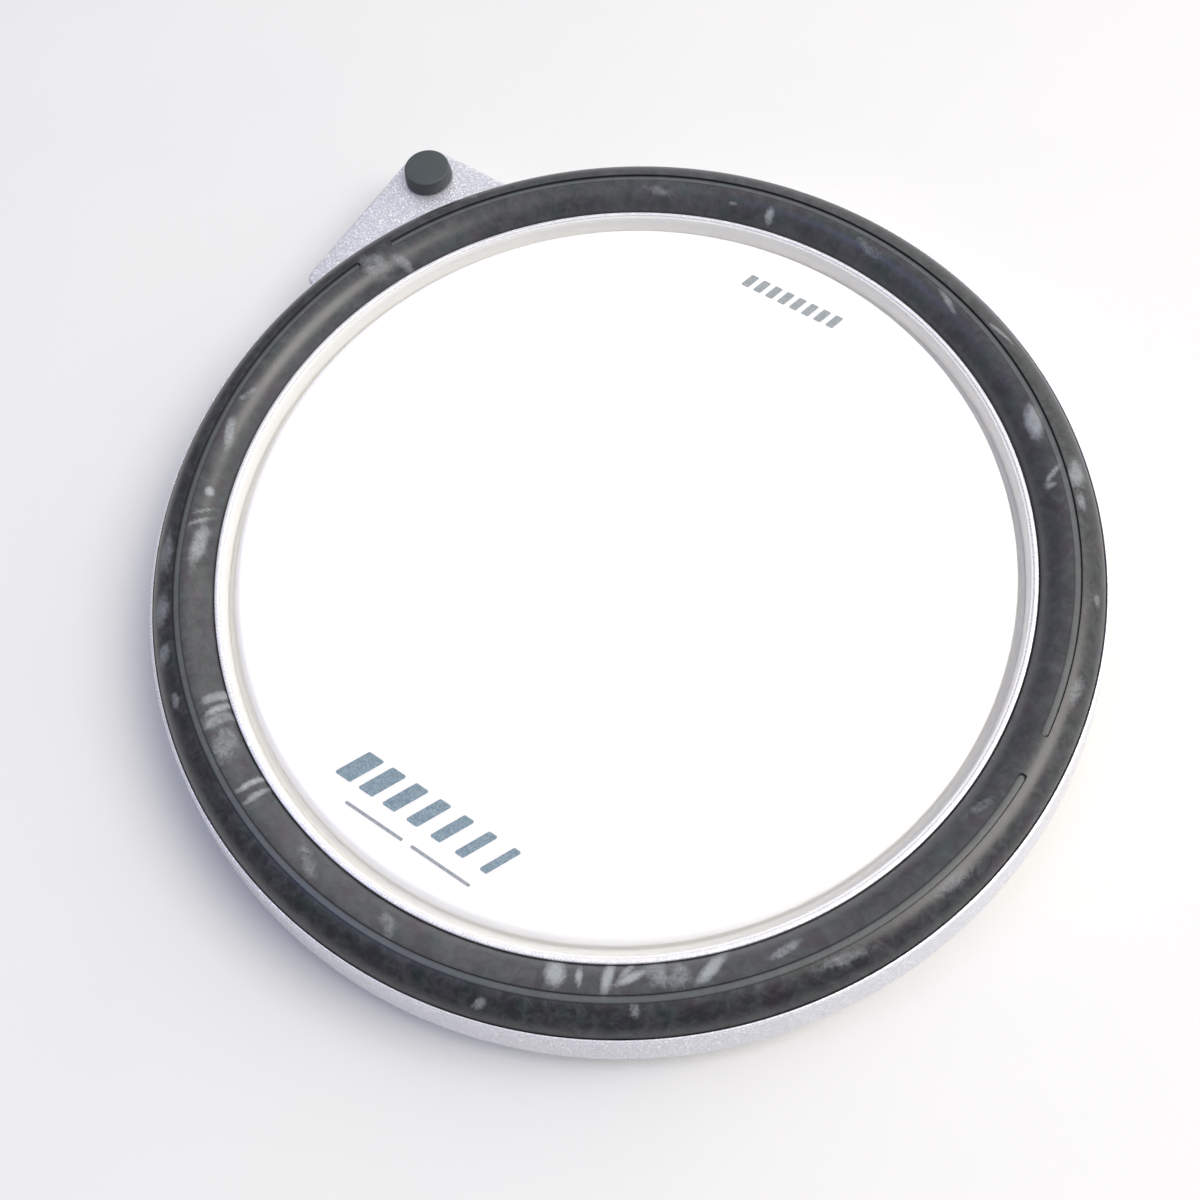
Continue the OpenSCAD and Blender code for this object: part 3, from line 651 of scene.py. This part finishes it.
def makeKnob():
    # A tapered cap on a straight skirt, recessed below round the shaft: one closed profile turned
    # about the knob's own axis
    k = knob
    lowest, highest = low("control_knob"), high("control_knob")
    centre, footR = (lowest + highest)[:2] / 2, (highest - lowest)[0] / 2
    footZ, topZ = lowest[2], highest[2]
    shaftTop = high("pot_shaft")[2] + 0.1
    bore = lowest[2] + k["recess"]
    profile = roundedOutline([
        (k["boreR"], footZ, 0.2), (footR, footZ, 0.25), (footR, footZ + k["skirt"], 0.6),
        (k["topR"], topZ, k["bevel"]), (0.02, topZ, 0.01), (0.02, shaftTop, 0.01),
        (k["shaftR"], shaftTop, 0.1), (k["shaftR"], bore, 0.1), (k["boreR"], bore, 0.2)], 5)
    profile[:, 0] = np.where(profile[:, 0] < 0.05, 0, profile[:, 0])
    points, faces = revolve(profile, 128)
    made = putMesh("knobCap", points + (*centre, 0), faces, 50)
    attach(made, "knob")
    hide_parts("control_knob")
    return made


knobCap = makeKnob()
print("knob made")

# Rubber feet and the front of the jack
feet = {
    "count": 4,
    "ringR": 108,
    "firstAngle": 45,       # degrees
    "radius": 9.0,
    "stemR": 3.0,
    "land": 1.4,            # smooth edge outside the ring grooves
    "pitch": 2.2,           # of the ring grooves under each foot
    "depth": 0.35,
}
jackFront = {"boreR": 3.2, "flangeStep": 0.35, "flange": 2.2}


def makeFeet():
    # Each foot is one profile turned about its own axis; underneath, ring grooves rise by
    # depth * sin(2 pi r / pitch) * 2, held between 0 and depth
    footR, stemR = feet["radius"], feet["stemR"]
    shelf = low("bottom_cover")[2]
    inner = high("rubber_feet")[2]
    ribs = np.linspace(0, footR - feet["land"], 60)
    wave = feet["depth"] * np.clip(np.sin(ribs / feet["pitch"] * turn) * 2, 0, 1)
    profile = np.concatenate([
        np.column_stack([ribs, wave]),
        [(footR - 0.5, 0.15), (footR, 0.8), (footR, shelf - 0.3), (footR - 0.3, shelf),
         (stemR, shelf), (stemR, shelf + 2), (stemR + 1, shelf + 2), (stemR - 0.5, inner), (0, inner)]])
    points, faces = revolve(profile, 64, False)
    shapes = [(points + (x, y, 0), faces)
              for x, y in around(feet["count"], feet["ringR"], feet["firstAngle"])]
    made = putMesh("rubberFeet", *joined(shapes), 50)
    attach(made, "base")
    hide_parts("rubber_feet")
    return made


def makeJackNose():
    # A turned nose whose flange fills the hole in the tab's wall; its profile (r, depth) turns
    # about the jack's axis
    lowest, highest = low("jack_nose"), high("jack_nose")
    flangeR, length = (highest - lowest)[1] / 2, (highest - lowest)[0]
    bore, barrelR, flange = jackFront["boreR"], flangeR - jackFront["flangeStep"], jackFront["flange"]
    profile = roundedOutline([
        (bore, 0, 0.45), (flangeR, 0, 0.3), (flangeR, flange, 0.1), (barrelR, flange, 0.1),
        (barrelR, length, 0.2), (bore, length, 0.2)], 5)
    local, faces = revolve(profile, 96)
    points = np.column_stack([lowest[0] + local[:, 2], (lowest + highest)[1] / 2 - local[:, 1],
                              (lowest + highest)[2] / 2 + local[:, 0]])
    made = putMesh("jackNose", points, faces, 50)
    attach(made, "base")
    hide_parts("jack_nose")
    return made


rubberFeet, jackNose = makeFeet(), makeJackNose()
print("feet and jack nose made")


# Soft supports: the waisted rubber isolators under the head and the two foam rings under the rim
supports = {
    "isolatorBore": 2.4,
    "waist": 0.7,
    "foamRings": [(122.4, 124.6), (138.3, 139.9)],   # inner and outer radius of each
    "bulge": 0.15,
    "foamInset": 0.16,     # room for the bulge inside the rings' own radii
}


def makeIsolators():
    # A waisted bush, whose side comes in by waist * sin(pi t) over its height, six times
    lowZ, highZ = low("head_isolators")[2], high("head_isolators")[2]
    boreR, outR = supports["isolatorBore"], high("head_isolators")[0] - casing["isolatorRingR"]
    t = np.linspace(0, 1, 13)
    outside = np.column_stack([outR - 0.1 - supports["waist"] * np.sin(math.pi * t),
                               lowZ + (highZ - lowZ) * t])
    profile = np.concatenate([[(boreR, lowZ)], outside, [(boreR, highZ)]])
    points, faces = revolve(profile, 48)
    shapes = [(points + (x, y, 0), faces)
              for x, y in around(casing["isolators"], casing["isolatorRingR"])]
    made = putMesh("headIsolators", *joined(shapes), 40)
    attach(made, "base")
    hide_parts("head_isolators")
    # keep: the head's full travel of 1 mm shortens them by as much
    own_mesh(made)
    return made


def makeFoamRings():
    # Two rings of foam, their sides bulged outwards by bulge * sin(pi t) over their height
    lowZ, highZ = low("rim_cushions")[2], high("rim_cushions")[2]
    t = np.linspace(0, 1, 9)
    bulge = supports["bulge"] * np.sin(math.pi * t)
    shapes = []
    for inR, outR in supports["foamRings"]:
        outside = np.column_stack([outR - supports["foamInset"] + bulge, lowZ + (highZ - lowZ) * t])
        inside = np.column_stack([inR + supports["foamInset"] - bulge, lowZ + (highZ - lowZ) * t])[::-1]
        shapes.append(revolve(np.concatenate([outside, inside]), 240))
    made = putMesh("rimFoam", *joined(shapes), 40)
    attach(made, "base")
    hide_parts("rim_cushions")
    # keep: the rim's full travel of 0.5 mm shortens them by as much
    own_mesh(made)
    return made


headIsolators, rimFoam = makeIsolators(), makeFoamRings()
print("soft supports made")


# Printed marks on the head
marks = {
    "thickness": 0.04,
    "sunk": 0.02,               # how far a slab's underside lies in the head
    "farSlant": 1.4,
    "thinSlant": 0.2,
    "stripes": [(-29 + 8.4 * i, 5.6 - 0.5 * i) for i in range(7)],   # left edge and width of each
    "stripeNear": -101.0,
    "stripeHeight": 10.0,
    "slant": 5.0,
    "thinBars": [(-21.0, 20.0), (2.0, 20.0)],   # fine line nearer the player
    "thinNear": -106.5,
    "thinHeight": 0.9,
    "farBars": [(-17.0 + 4.4 * i, 2.6) for i in range(8)],           # short plain bars, far side
    "farNear": 98.4,
    "farHeight": 5.0,
}


def slab(left, width, near, height, slant, radius):
    # A thin rounded parallelogram on the head, as points and faces
    z = high("playing_head")[2]
    outline = roundedOutline([
        (left, near, radius), (left + width, near, radius), (left + width + slant, near + height, radius),
        (left + slant, near + height, radius)], 4)
    middle = outline.mean(0)
    count = len(outline)
    levels = [(middle + 0 * outline, z - marks["sunk"]), (outline, z - marks["sunk"]),
              (outline, z + marks["thickness"]), (middle + 0 * outline, z + marks["thickness"])]
    points = np.stack([np.column_stack([xy, np.full(count, h)]) for xy, h in levels], 1)
    return points.reshape(-1, 3), gridFaces(count, 4, False)


def makeMarks():
    # Rows of slabs: broad stripes with fine lines nearer the player, and short bars on the far side
    m = marks
    near = [slab(x, w, m["stripeNear"], m["stripeHeight"], m["slant"], 0.5) for x, w in m["stripes"]]
    thin = [slab(x, w, m["thinNear"], m["thinHeight"], m["thinSlant"], 0.3) for x, w in m["thinBars"]]
    far = [slab(x, w, m["farNear"], m["farHeight"], m["farSlant"], 0.4) for x, w in m["farBars"]]
    made = []
    for name, shapes in (("nearMark", near), ("nearLine", thin), ("farMark", far)):
        piece = putMesh(name, *joined(shapes), 30)
        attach(piece, "head")
        made.append(piece)
    return made


nearMark, nearLine, farMark = makeMarks()
print("marks made")


def mouldedRubber():
    # Moulded rubber, semi-matt: near black on the outer slope; the inner slope, which faces the light,
    # is painted greyer and mottled as painted light; chalky scuffs hide the gloss, the groove's floor
    # is a painted highlight and its edges are painted shade
    material, tree, shader, point = newMaterial("mouldedRubber")
    cloud = addNode(tree, "TexNoise", {"Vector": point, "Scale": 1 / 14, "Detail": 4, "Roughness": 0.6})
    wipe = addNode(tree, "TexNoise", {"Vector": point, "Scale": 1 / 3.5, "Detail": 6, "Roughness": 0.7,
                                      "Distortion": 0.6})
    tint = addNode(tree, "TexNoise", {"Vector": point, "Scale": 1 / 6, "Detail": 2})
    streak = addNode(tree, "TexNoise", {"Vector": point, "Scale": 1 / 0.9, "Detail": 5, "Roughness": 0.75})
    grain = addNode(tree, "TexNoise", {"Vector": point, "Scale": 1 / 0.5, "Detail": 2})
    spread = addNode(tree, "MapRange", {0: tint.outputs[0], 1: 0.35, 2: 0.65, 3: 0.0, 4: 1.0})
    base = addNode(tree, "Mix", {"data_type": "RGBA", 0: spread.outputs[0],
                                 6: linear("#1c2422"), 7: linear("#261f26")}).outputs[2]
    # painted light: the inner slope, which faces the light, is mixed towards a mottled lighter grey
    paintedInnerLight = addNode(tree, "Attribute", {"attribute_name": "paintedInnerLight"}).outputs["Fac"]
    paintedLightMottle = addNode(tree, "MapRange", {0: cloud.outputs[0], 1: 0.3, 2: 0.7, 3: 0.45, 4: 1.0})
    greyed = addNode(tree, "Math", {"operation": "MULTIPLY", 0: paintedInnerLight, 1: paintedLightMottle.outputs[0]})
    paintedLitGrey = addNode(tree, "Mix", {"data_type": "RGBA", 0: spread.outputs[0],
                                  6: linear("#3f4645"), 7: linear("#464247")}).outputs[2]
    base = addNode(tree, "Mix", {"data_type": "RGBA", 0: greyed.outputs[0], 6: base, 7: paintedLitGrey}).outputs[2]
    film = addNode(tree, "MapRange", {0: wipe.outputs[0], 1: 0.42, 2: 0.74, 3: 0.0, 4: 0.45})
    base = addNode(tree, "Mix", {"data_type": "RGBA", 0: film.outputs[0],
                                 6: base, 7: linear("#5b6161")}).outputs[2]
    chalk = addNode(tree, "Attribute", {"attribute_name": "chalk"}).outputs["Fac"]
    ragged = addNode(tree, "Math", {"operation": "MULTIPLY_ADD", 0: streak.outputs[0], 1: 0.9, 2: -0.45})
    broken = addNode(tree, "Math", {"operation": "MULTIPLY_ADD", 0: wipe.outputs[0], 1: 1.0,
                                    2: ragged.outputs[0]})
    raised = addNode(tree, "Math", {"operation": "ADD", 0: chalk, 1: broken.outputs[0]})
    dust = addNode(tree, "MapRange", {0: raised.outputs[0], 1: 0.6, 2: 1.5, 3: 0.0, 4: 1.0})
    reach = addNode(tree, "MapRange", {0: chalk, 1: 0.0, 2: 0.35, 3: 0.0, 4: 0.8})
    power = addNode(tree, "Math", {"operation": "MULTIPLY", 0: dust.outputs[0], 1: reach.outputs[0]})
    base = addNode(tree, "Mix", {"data_type": "RGBA", 0: power.outputs[0],
                                 6: base, 7: linear("#a4aaad")}).outputs[2]
    # painted highlight: the groove's floor is lightened
    groove = addNode(tree, "Attribute", {"attribute_name": "groove"}).outputs["Fac"]
    paintedGrooveLight = addNode(tree, "Math", {"operation": "MULTIPLY", 0: groove, 1: 0.32})
    base = addNode(tree, "Mix", {"data_type": "RGBA", 0: paintedGrooveLight.outputs[0],
                                 6: base, 7: linear("#7a8281")}).outputs[2]
    # painted shade: a dark line along each edge of the groove
    crease = addNode(tree, "Attribute", {"attribute_name": "crease"}).outputs["Fac"]
    paintedCreaseShade = addNode(tree, "Math", {"operation": "MULTIPLY", 0: crease, 1: 0.85})
    base = addNode(tree, "Mix", {"data_type": "RGBA", 0: paintedCreaseShade.outputs[0],
                                 6: base, 7: linear("#101112")}).outputs[2]
    rough = addNode(tree, "MapRange", {0: wipe.outputs[0], 1: 0.3, 2: 0.7, 3: 0.26, 4: 0.4})
    dull = addNode(tree, "Math", {"operation": "MULTIPLY_ADD", 0: power.outputs[0], 1: 0.35,
                                  2: rough.outputs[0]})
    bump = addNode(tree, "Bump", {"Strength": 0.12, "Distance": 0.0002, "Height": grain.outputs[0]})
    setNode(shader, {"Base Color": base, "Roughness": dull.outputs[0], "Normal": bump.outputs[0],
                     "IOR": 1.52})
    return material


def flakeLacquer():
    # Silver metal-flake lacquer under a clear coat on moulded ABS: each flake lies at its own
    # small angle, least on the upright walls. A few flakes are painted white as painted glints, and
    # the lip and the top edge are painted lighter, with more painted glints, as painted highlight.
    # Real flakes are 0.1 mm; these are drawn coarser, so that they show
    material, tree, shader, point = newMaterial("silverFlakeLacquer")
    flake = addNode(tree, "TexVoronoi", {"Vector": point, "Scale": 1 / 0.34, "Randomness": 1.0})
    tint = addNode(tree, "SeparateColor", {0: flake.outputs["Color"]})
    height = addNode(tree, "SeparateXYZ", {0: point}).outputs[2]
    # painted highlight: above 24.6 mm, on the lip and the top edge, the flakes are lighter and more of them
    # are painted white
    edge = addNode(tree, "MapRange", {0: height, 1: 24.6, 2: 25.0, 3: 0.0, 4: 1.0})
    least = addNode(tree, "MapRange", {0: edge.outputs[0], 3: 0.86, 4: 0.6})
    # painted glints: flakes over the threshold are coloured white
    paintedGlint = addNode(tree, "Math", {"operation": "GREATER_THAN", 0: tint.outputs[0], 1: least.outputs[0]})
    ground = addNode(tree, "Mix", {"data_type": "RGBA", 0: tint.outputs[1],
                                   6: linear("#cccdd5"), 7: linear("#dadbe2")}).outputs[2]
    ground = addNode(tree, "Mix", {"data_type": "RGBA", 0: edge.outputs[0],
                                   6: ground, 7: linear("#e9e9ee")}).outputs[2]
    colour = addNode(tree, "Mix", {"data_type": "RGBA", 0: paintedGlint.outputs[0],
                                   6: ground, 7: linear("#ffffff")}).outputs[2]
    rough = addNode(tree, "MapRange", {0: paintedGlint.outputs[0], 1: 0.0, 2: 1.0, 3: 0.46, 4: 0.2})
    lean = addNode(tree, "VectorMath", {"operation": "SUBTRACT", 0: flake.outputs["Color"],
                                        1: (0.5, 0.5, 0.5)})
    normal = addNode(tree, "NewGeometry").outputs["Normal"]
    upward = addNode(tree, "SeparateXYZ", {0: normal}).outputs[2]
    much = addNode(tree, "MapRange", {0: upward, 3: 0.03, 4: 0.2})
    small = addNode(tree, "VectorMath", {"operation": "SCALE", 0: lean.outputs[0],
                                         "Scale": much.outputs[0]})
    tilted = addNode(tree, "VectorMath", {"operation": "ADD", 0: normal, 1: small.outputs[0]})
    facing = addNode(tree, "VectorMath", {"operation": "NORMALIZE", 0: tilted.outputs[0]})
    setNode(shader, {"Base Color": colour, "Roughness": rough.outputs[0], "Normal": facing.outputs[0],
                     "Metallic": 0.55, "Coat Weight": 0.5, "Coat Roughness": 0.12})
    return material


def siliconeSkin(name, pale, dark, roughness):
    # Moulded silicone skin, matt: fine stipple and a faint cloudiness from handling
    material, tree, shader, point = newMaterial(name)
    cloud = addNode(tree, "TexNoise", {"Vector": point, "Scale": 1 / 40, "Detail": 4})
    stipple = addNode(tree, "TexNoise", {"Vector": point, "Scale": 1 / 0.6, "Detail": 2})
    colour = addNode(tree, "Mix", {"data_type": "RGBA", 0: cloud.outputs[0],
                                   6: linear(pale), 7: linear(dark)}).outputs[2]
    rough = addNode(tree, "MapRange", {0: cloud.outputs[0], 1: 0.3, 2: 0.7,
                                       3: roughness - 0.06, 4: roughness + 0.06})
    bump = addNode(tree, "Bump", {"Strength": 0.08, "Distance": 0.0002, "Height": stipple.outputs[0]})
    setNode(shader, {"Base Color": colour, "Roughness": rough.outputs[0], "Normal": bump.outputs[0],
                     "IOR": 1.41, "Subsurface Weight": 0.4, "Subsurface Radius": (1, 1, 1),
                     "Subsurface Scale": 0.004})
    return material


def texturedPlastic(name, first, second, roughness, grainMm, bump):
    # ABS moulded against a spark-eroded tool: even colour, fine grain, low sheen
    material, tree, shader, point = newMaterial(name)
    cloud = addNode(tree, "TexNoise", {"Vector": point, "Scale": 1 / 9, "Detail": 4})
    grain = addNode(tree, "TexNoise", {"Vector": point, "Scale": 1 / grainMm, "Detail": 3})
    colour = addNode(tree, "Mix", {"data_type": "RGBA", 0: cloud.outputs[0],
                                   6: linear(first), 7: linear(second)}).outputs[2]
    rough = addNode(tree, "MapRange", {0: grain.outputs[0], 1: 0.3, 2: 0.7,
                                       3: roughness - 0.08, 4: roughness + 0.08})
    relief = addNode(tree, "Bump", {"Strength": bump, "Distance": 0.0002, "Height": grain.outputs[0]})
    setNode(shader, {"Base Color": colour, "Roughness": rough.outputs[0], "Normal": relief.outputs[0],
                     "IOR": 1.53})
    return material


def platedMetal(name, first, second, roughness, streakMm):
    # Plated or rolled metal: fine streaks along one direction and slight tarnish
    material, tree, shader, point = newMaterial(name)
    stretched = addNode(tree, "Mapping", {0: point, "Scale": (1 / streakMm, 0.15 / streakMm, 1 / streakMm)})
    streak = addNode(tree, "TexNoise", {"Vector": stretched.outputs[0], "Scale": 1, "Detail": 4})
    cloud = addNode(tree, "TexNoise", {"Vector": point, "Scale": 1 / 6, "Detail": 3})
    colour = addNode(tree, "Mix", {"data_type": "RGBA", 0: cloud.outputs[0],
                                   6: linear(first), 7: linear(second)}).outputs[2]
    rough = addNode(tree, "MapRange", {0: streak.outputs[0], 1: 0.3, 2: 0.7,
                                       3: roughness - 0.08, 4: roughness + 0.12})
    bump = addNode(tree, "Bump", {"Strength": 0.06, "Distance": 0.0001, "Height": streak.outputs[0]})
    setNode(shader, {"Base Color": colour, "Roughness": rough.outputs[0], "Normal": bump.outputs[0],
                     "Metallic": 1.0})
    return material


def openFoam(name, first, second, cellMm):
    # Polyurethane foam: matt, with a pit at every open cell
    material, tree, shader, point = newMaterial(name)
    cell = addNode(tree, "TexVoronoi", {"Vector": point, "Scale": 1 / cellMm})
    depth = addNode(tree, "MapRange", {0: cell.outputs["Distance"], 1: 0.0, 2: 0.6, 3: 0.0, 4: 1.0})
    colour = addNode(tree, "Mix", {"data_type": "RGBA", 0: depth.outputs[0],
                                   6: linear(first), 7: linear(second)}).outputs[2]
    bump = addNode(tree, "Bump", {"Strength": 0.6, "Distance": 0.0004, "Height": depth.outputs[0]})
    setNode(shader, {"Base Color": colour, "Normal": bump.outputs[0], "Roughness": 0.95})
    return material


def spangledSteel():
    # Hot-dip galvanised sheet: grey crystals a few millimetres across, each with its own sheen
    material, tree, shader, point = newMaterial("galvanisedSheet")
    crystal = addNode(tree, "TexVoronoi", {"Vector": point, "Scale": 1 / 5})
    tint = addNode(tree, "SeparateColor", {0: crystal.outputs["Color"]})
    colour = addNode(tree, "Mix", {"data_type": "RGBA", 0: tint.outputs[0],
                                   6: linear("#8d9296"), 7: linear("#b9bec2")}).outputs[2]
    rough = addNode(tree, "MapRange", {0: tint.outputs[1], 1: 0.0, 2: 1.0, 3: 0.3, 4: 0.55})
    setNode(shader, {"Base Color": colour, "Roughness": rough.outputs[0], "Metallic": 1.0})
    return material


def solderMask():
    # Glass-epoxy board under green solder mask: the weave shows through, copper tracks run one way
    material, tree, shader, point = newMaterial("greenSolderMask")
    tracks = addNode(tree, "TexWave", {"Vector": point, "Scale": 0.22, "Distortion": 3, "Detail": 1,
                                       "bands_direction": "X"})
    line = addNode(tree, "MapRange", {0: tracks.outputs[1], 1: 0.72, 2: 0.78, 3: 0.0, 4: 1.0})
    colour = addNode(tree, "Mix", {"data_type": "RGBA", 0: line.outputs[0],
                                   6: linear("#0f4a2a"), 7: linear("#1f6b3c")}).outputs[2]
    bump = addNode(tree, "Bump", {"Strength": 0.2, "Distance": 0.0001, "Height": line.outputs[0]})
    setNode(shader, {"Base Color": colour, "Normal": bump.outputs[0], "Roughness": 0.32})
    return material


def sparkleInk(name, first, second):
    # Screen-printed ink with fine metal powder
    material, tree, shader, point = newMaterial(name)
    flake = addNode(tree, "TexVoronoi", {"Vector": point, "Scale": 1 / 0.4})
    tint = addNode(tree, "SeparateColor", {0: flake.outputs["Color"]})
    colour = addNode(tree, "Mix", {"data_type": "RGBA", 0: tint.outputs[0],
                                   6: linear(first), 7: linear(second)}).outputs[2]
    rough = addNode(tree, "MapRange", {0: tint.outputs[1], 1: 0.0, 2: 1.0, 3: 0.35, 4: 0.6})
    setNode(shader, {"Base Color": colour, "Roughness": rough.outputs[0], "Metallic": 0.2})
    return material


def wear(piece, material):
    # The piece's only material
    piece.data.materials.clear()
    piece.data.materials.append(material)


lacquer = flakeLacquer()
footRubber = texturedPlastic("footRubber", "#1c1d1e", "#2a2b2c", 0.72, 0.5, 0.15)
zinc = platedMetal("zincPlatedSteel", "#a9adb0", "#c4c6c4", 0.32, 0.3)
nickel = platedMetal("nickelPlatedBrass", "#c9c6bf", "#dedbd3", 0.18, 0.2)
brass = platedMetal("turnedBrass", "#b98d3f", "#d6ad5c", 0.28, 0.25)
bronze = platedMetal("phosphorBronze", "#b07a45", "#c8945c", 0.3, 0.3)
steelSheet = spangledSteel()
greyFoam = openFoam("greyFoam", "#3a3c3e", "#606468", 0.7)
blackFoam = openFoam("blackFoam", "#222324", "#3c3d3e", 0.5)
nylon = texturedPlastic("whiteNylon", "#e6e4dc", "#f2f0e8", 0.5, 0.5, 0.05)
film = texturedPlastic("polyesterFilm", "#a98f45", "#c8b060", 0.25, 3, 0.03)
board = solderMask()
finishes = {
    "bottom_cover": texturedPlastic("blackAbs", "#232527", "#313436", 0.6, 0.7, 0.3),
    "cover_screws": zinc, "mount_inserts": brass, "rim_clips": zinc, "rim_backing_ring": steelSheet,
    "rim_switch_near": film, "rim_switch_far": film, "head_foam": greyFoam,
    "head_plate": steelSheet, "head_screws": zinc,
    "sensor_cushion": greyFoam, "sensor_disc": brass,
    "sensor_ceramic": texturedPlastic("silveredCeramic", "#d9d4c4", "#ebe7da", 0.4, 0.4, 0.05),
    "pot_body": platedMetal("potSteel", "#8e959b", "#a7adb1", 0.35, 0.4), "pot_shaft": nickel,
    "pot_nut": nickel, "pot_washer": nickel, "pot_terminals": brass,
    "jack_body": texturedPlastic("blackNylon", "#17181a", "#222426", 0.5, 0.5, 0.1),
    "jack_contacts": bronze, "circuit_board": board, "board_screws": zinc,
    "board_connectors": nylon,
    "board_parts": texturedPlastic("epoxyCoat", "#8c6f45", "#b49463", 0.4, 0.6, 0.05),
    "sensor_lead": texturedPlastic("redPvc", "#8f1f1c", "#a82a25", 0.4, 0.8, 0.05),
    "near_rim_lead": texturedPlastic("greyPvc", "#6d7072", "#85888a", 0.4, 0.8, 0.05),
    "far_rim_lead": texturedPlastic("whitePvc", "#c9c9c6", "#dcdcd8", 0.4, 0.8, 0.05),
    "knob_lead": texturedPlastic("yellowPvc", "#b8952a", "#cda93a", 0.4, 0.8, 0.05),
    "jack_lead": texturedPlastic("orangePvc", "#b3602a", "#c97238", 0.4, 0.8, 0.05),
    "lead_clips": nylon,
}
for node, material in finishes.items():
    wear(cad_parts[node], material)
wear(upperCasing, lacquer)
wear(rimRubber, mouldedRubber())
wear(playingHead, siliconeSkin("whiteSilicone", "#ffffff", "#fbfbf9", 0.6))
cream = siliconeSkin("creamSilicone", "#fdfcf8", "#f8f8f5", 0.5)
wear(moatWall, cream)
wear(moatWeb, cream)
wear(knobCap, texturedPlastic("knobAbs", "#383e3f", "#464e50", 0.5, 0.4, 0.12))
wear(rubberFeet, footRubber)
wear(jackNose, nickel)
wear(headIsolators, footRubber)
wear(rimFoam, blackFoam)
wear(nearMark, sparkleInk("blueGreyInk", "#71858f", "#93a6ae"))
wear(nearLine, sparkleInk("lineInk", "#8f9599", "#a5abae"))
wear(farMark, sparkleInk("greyInk", "#8f9698", "#a4abac"))
print("materials set")
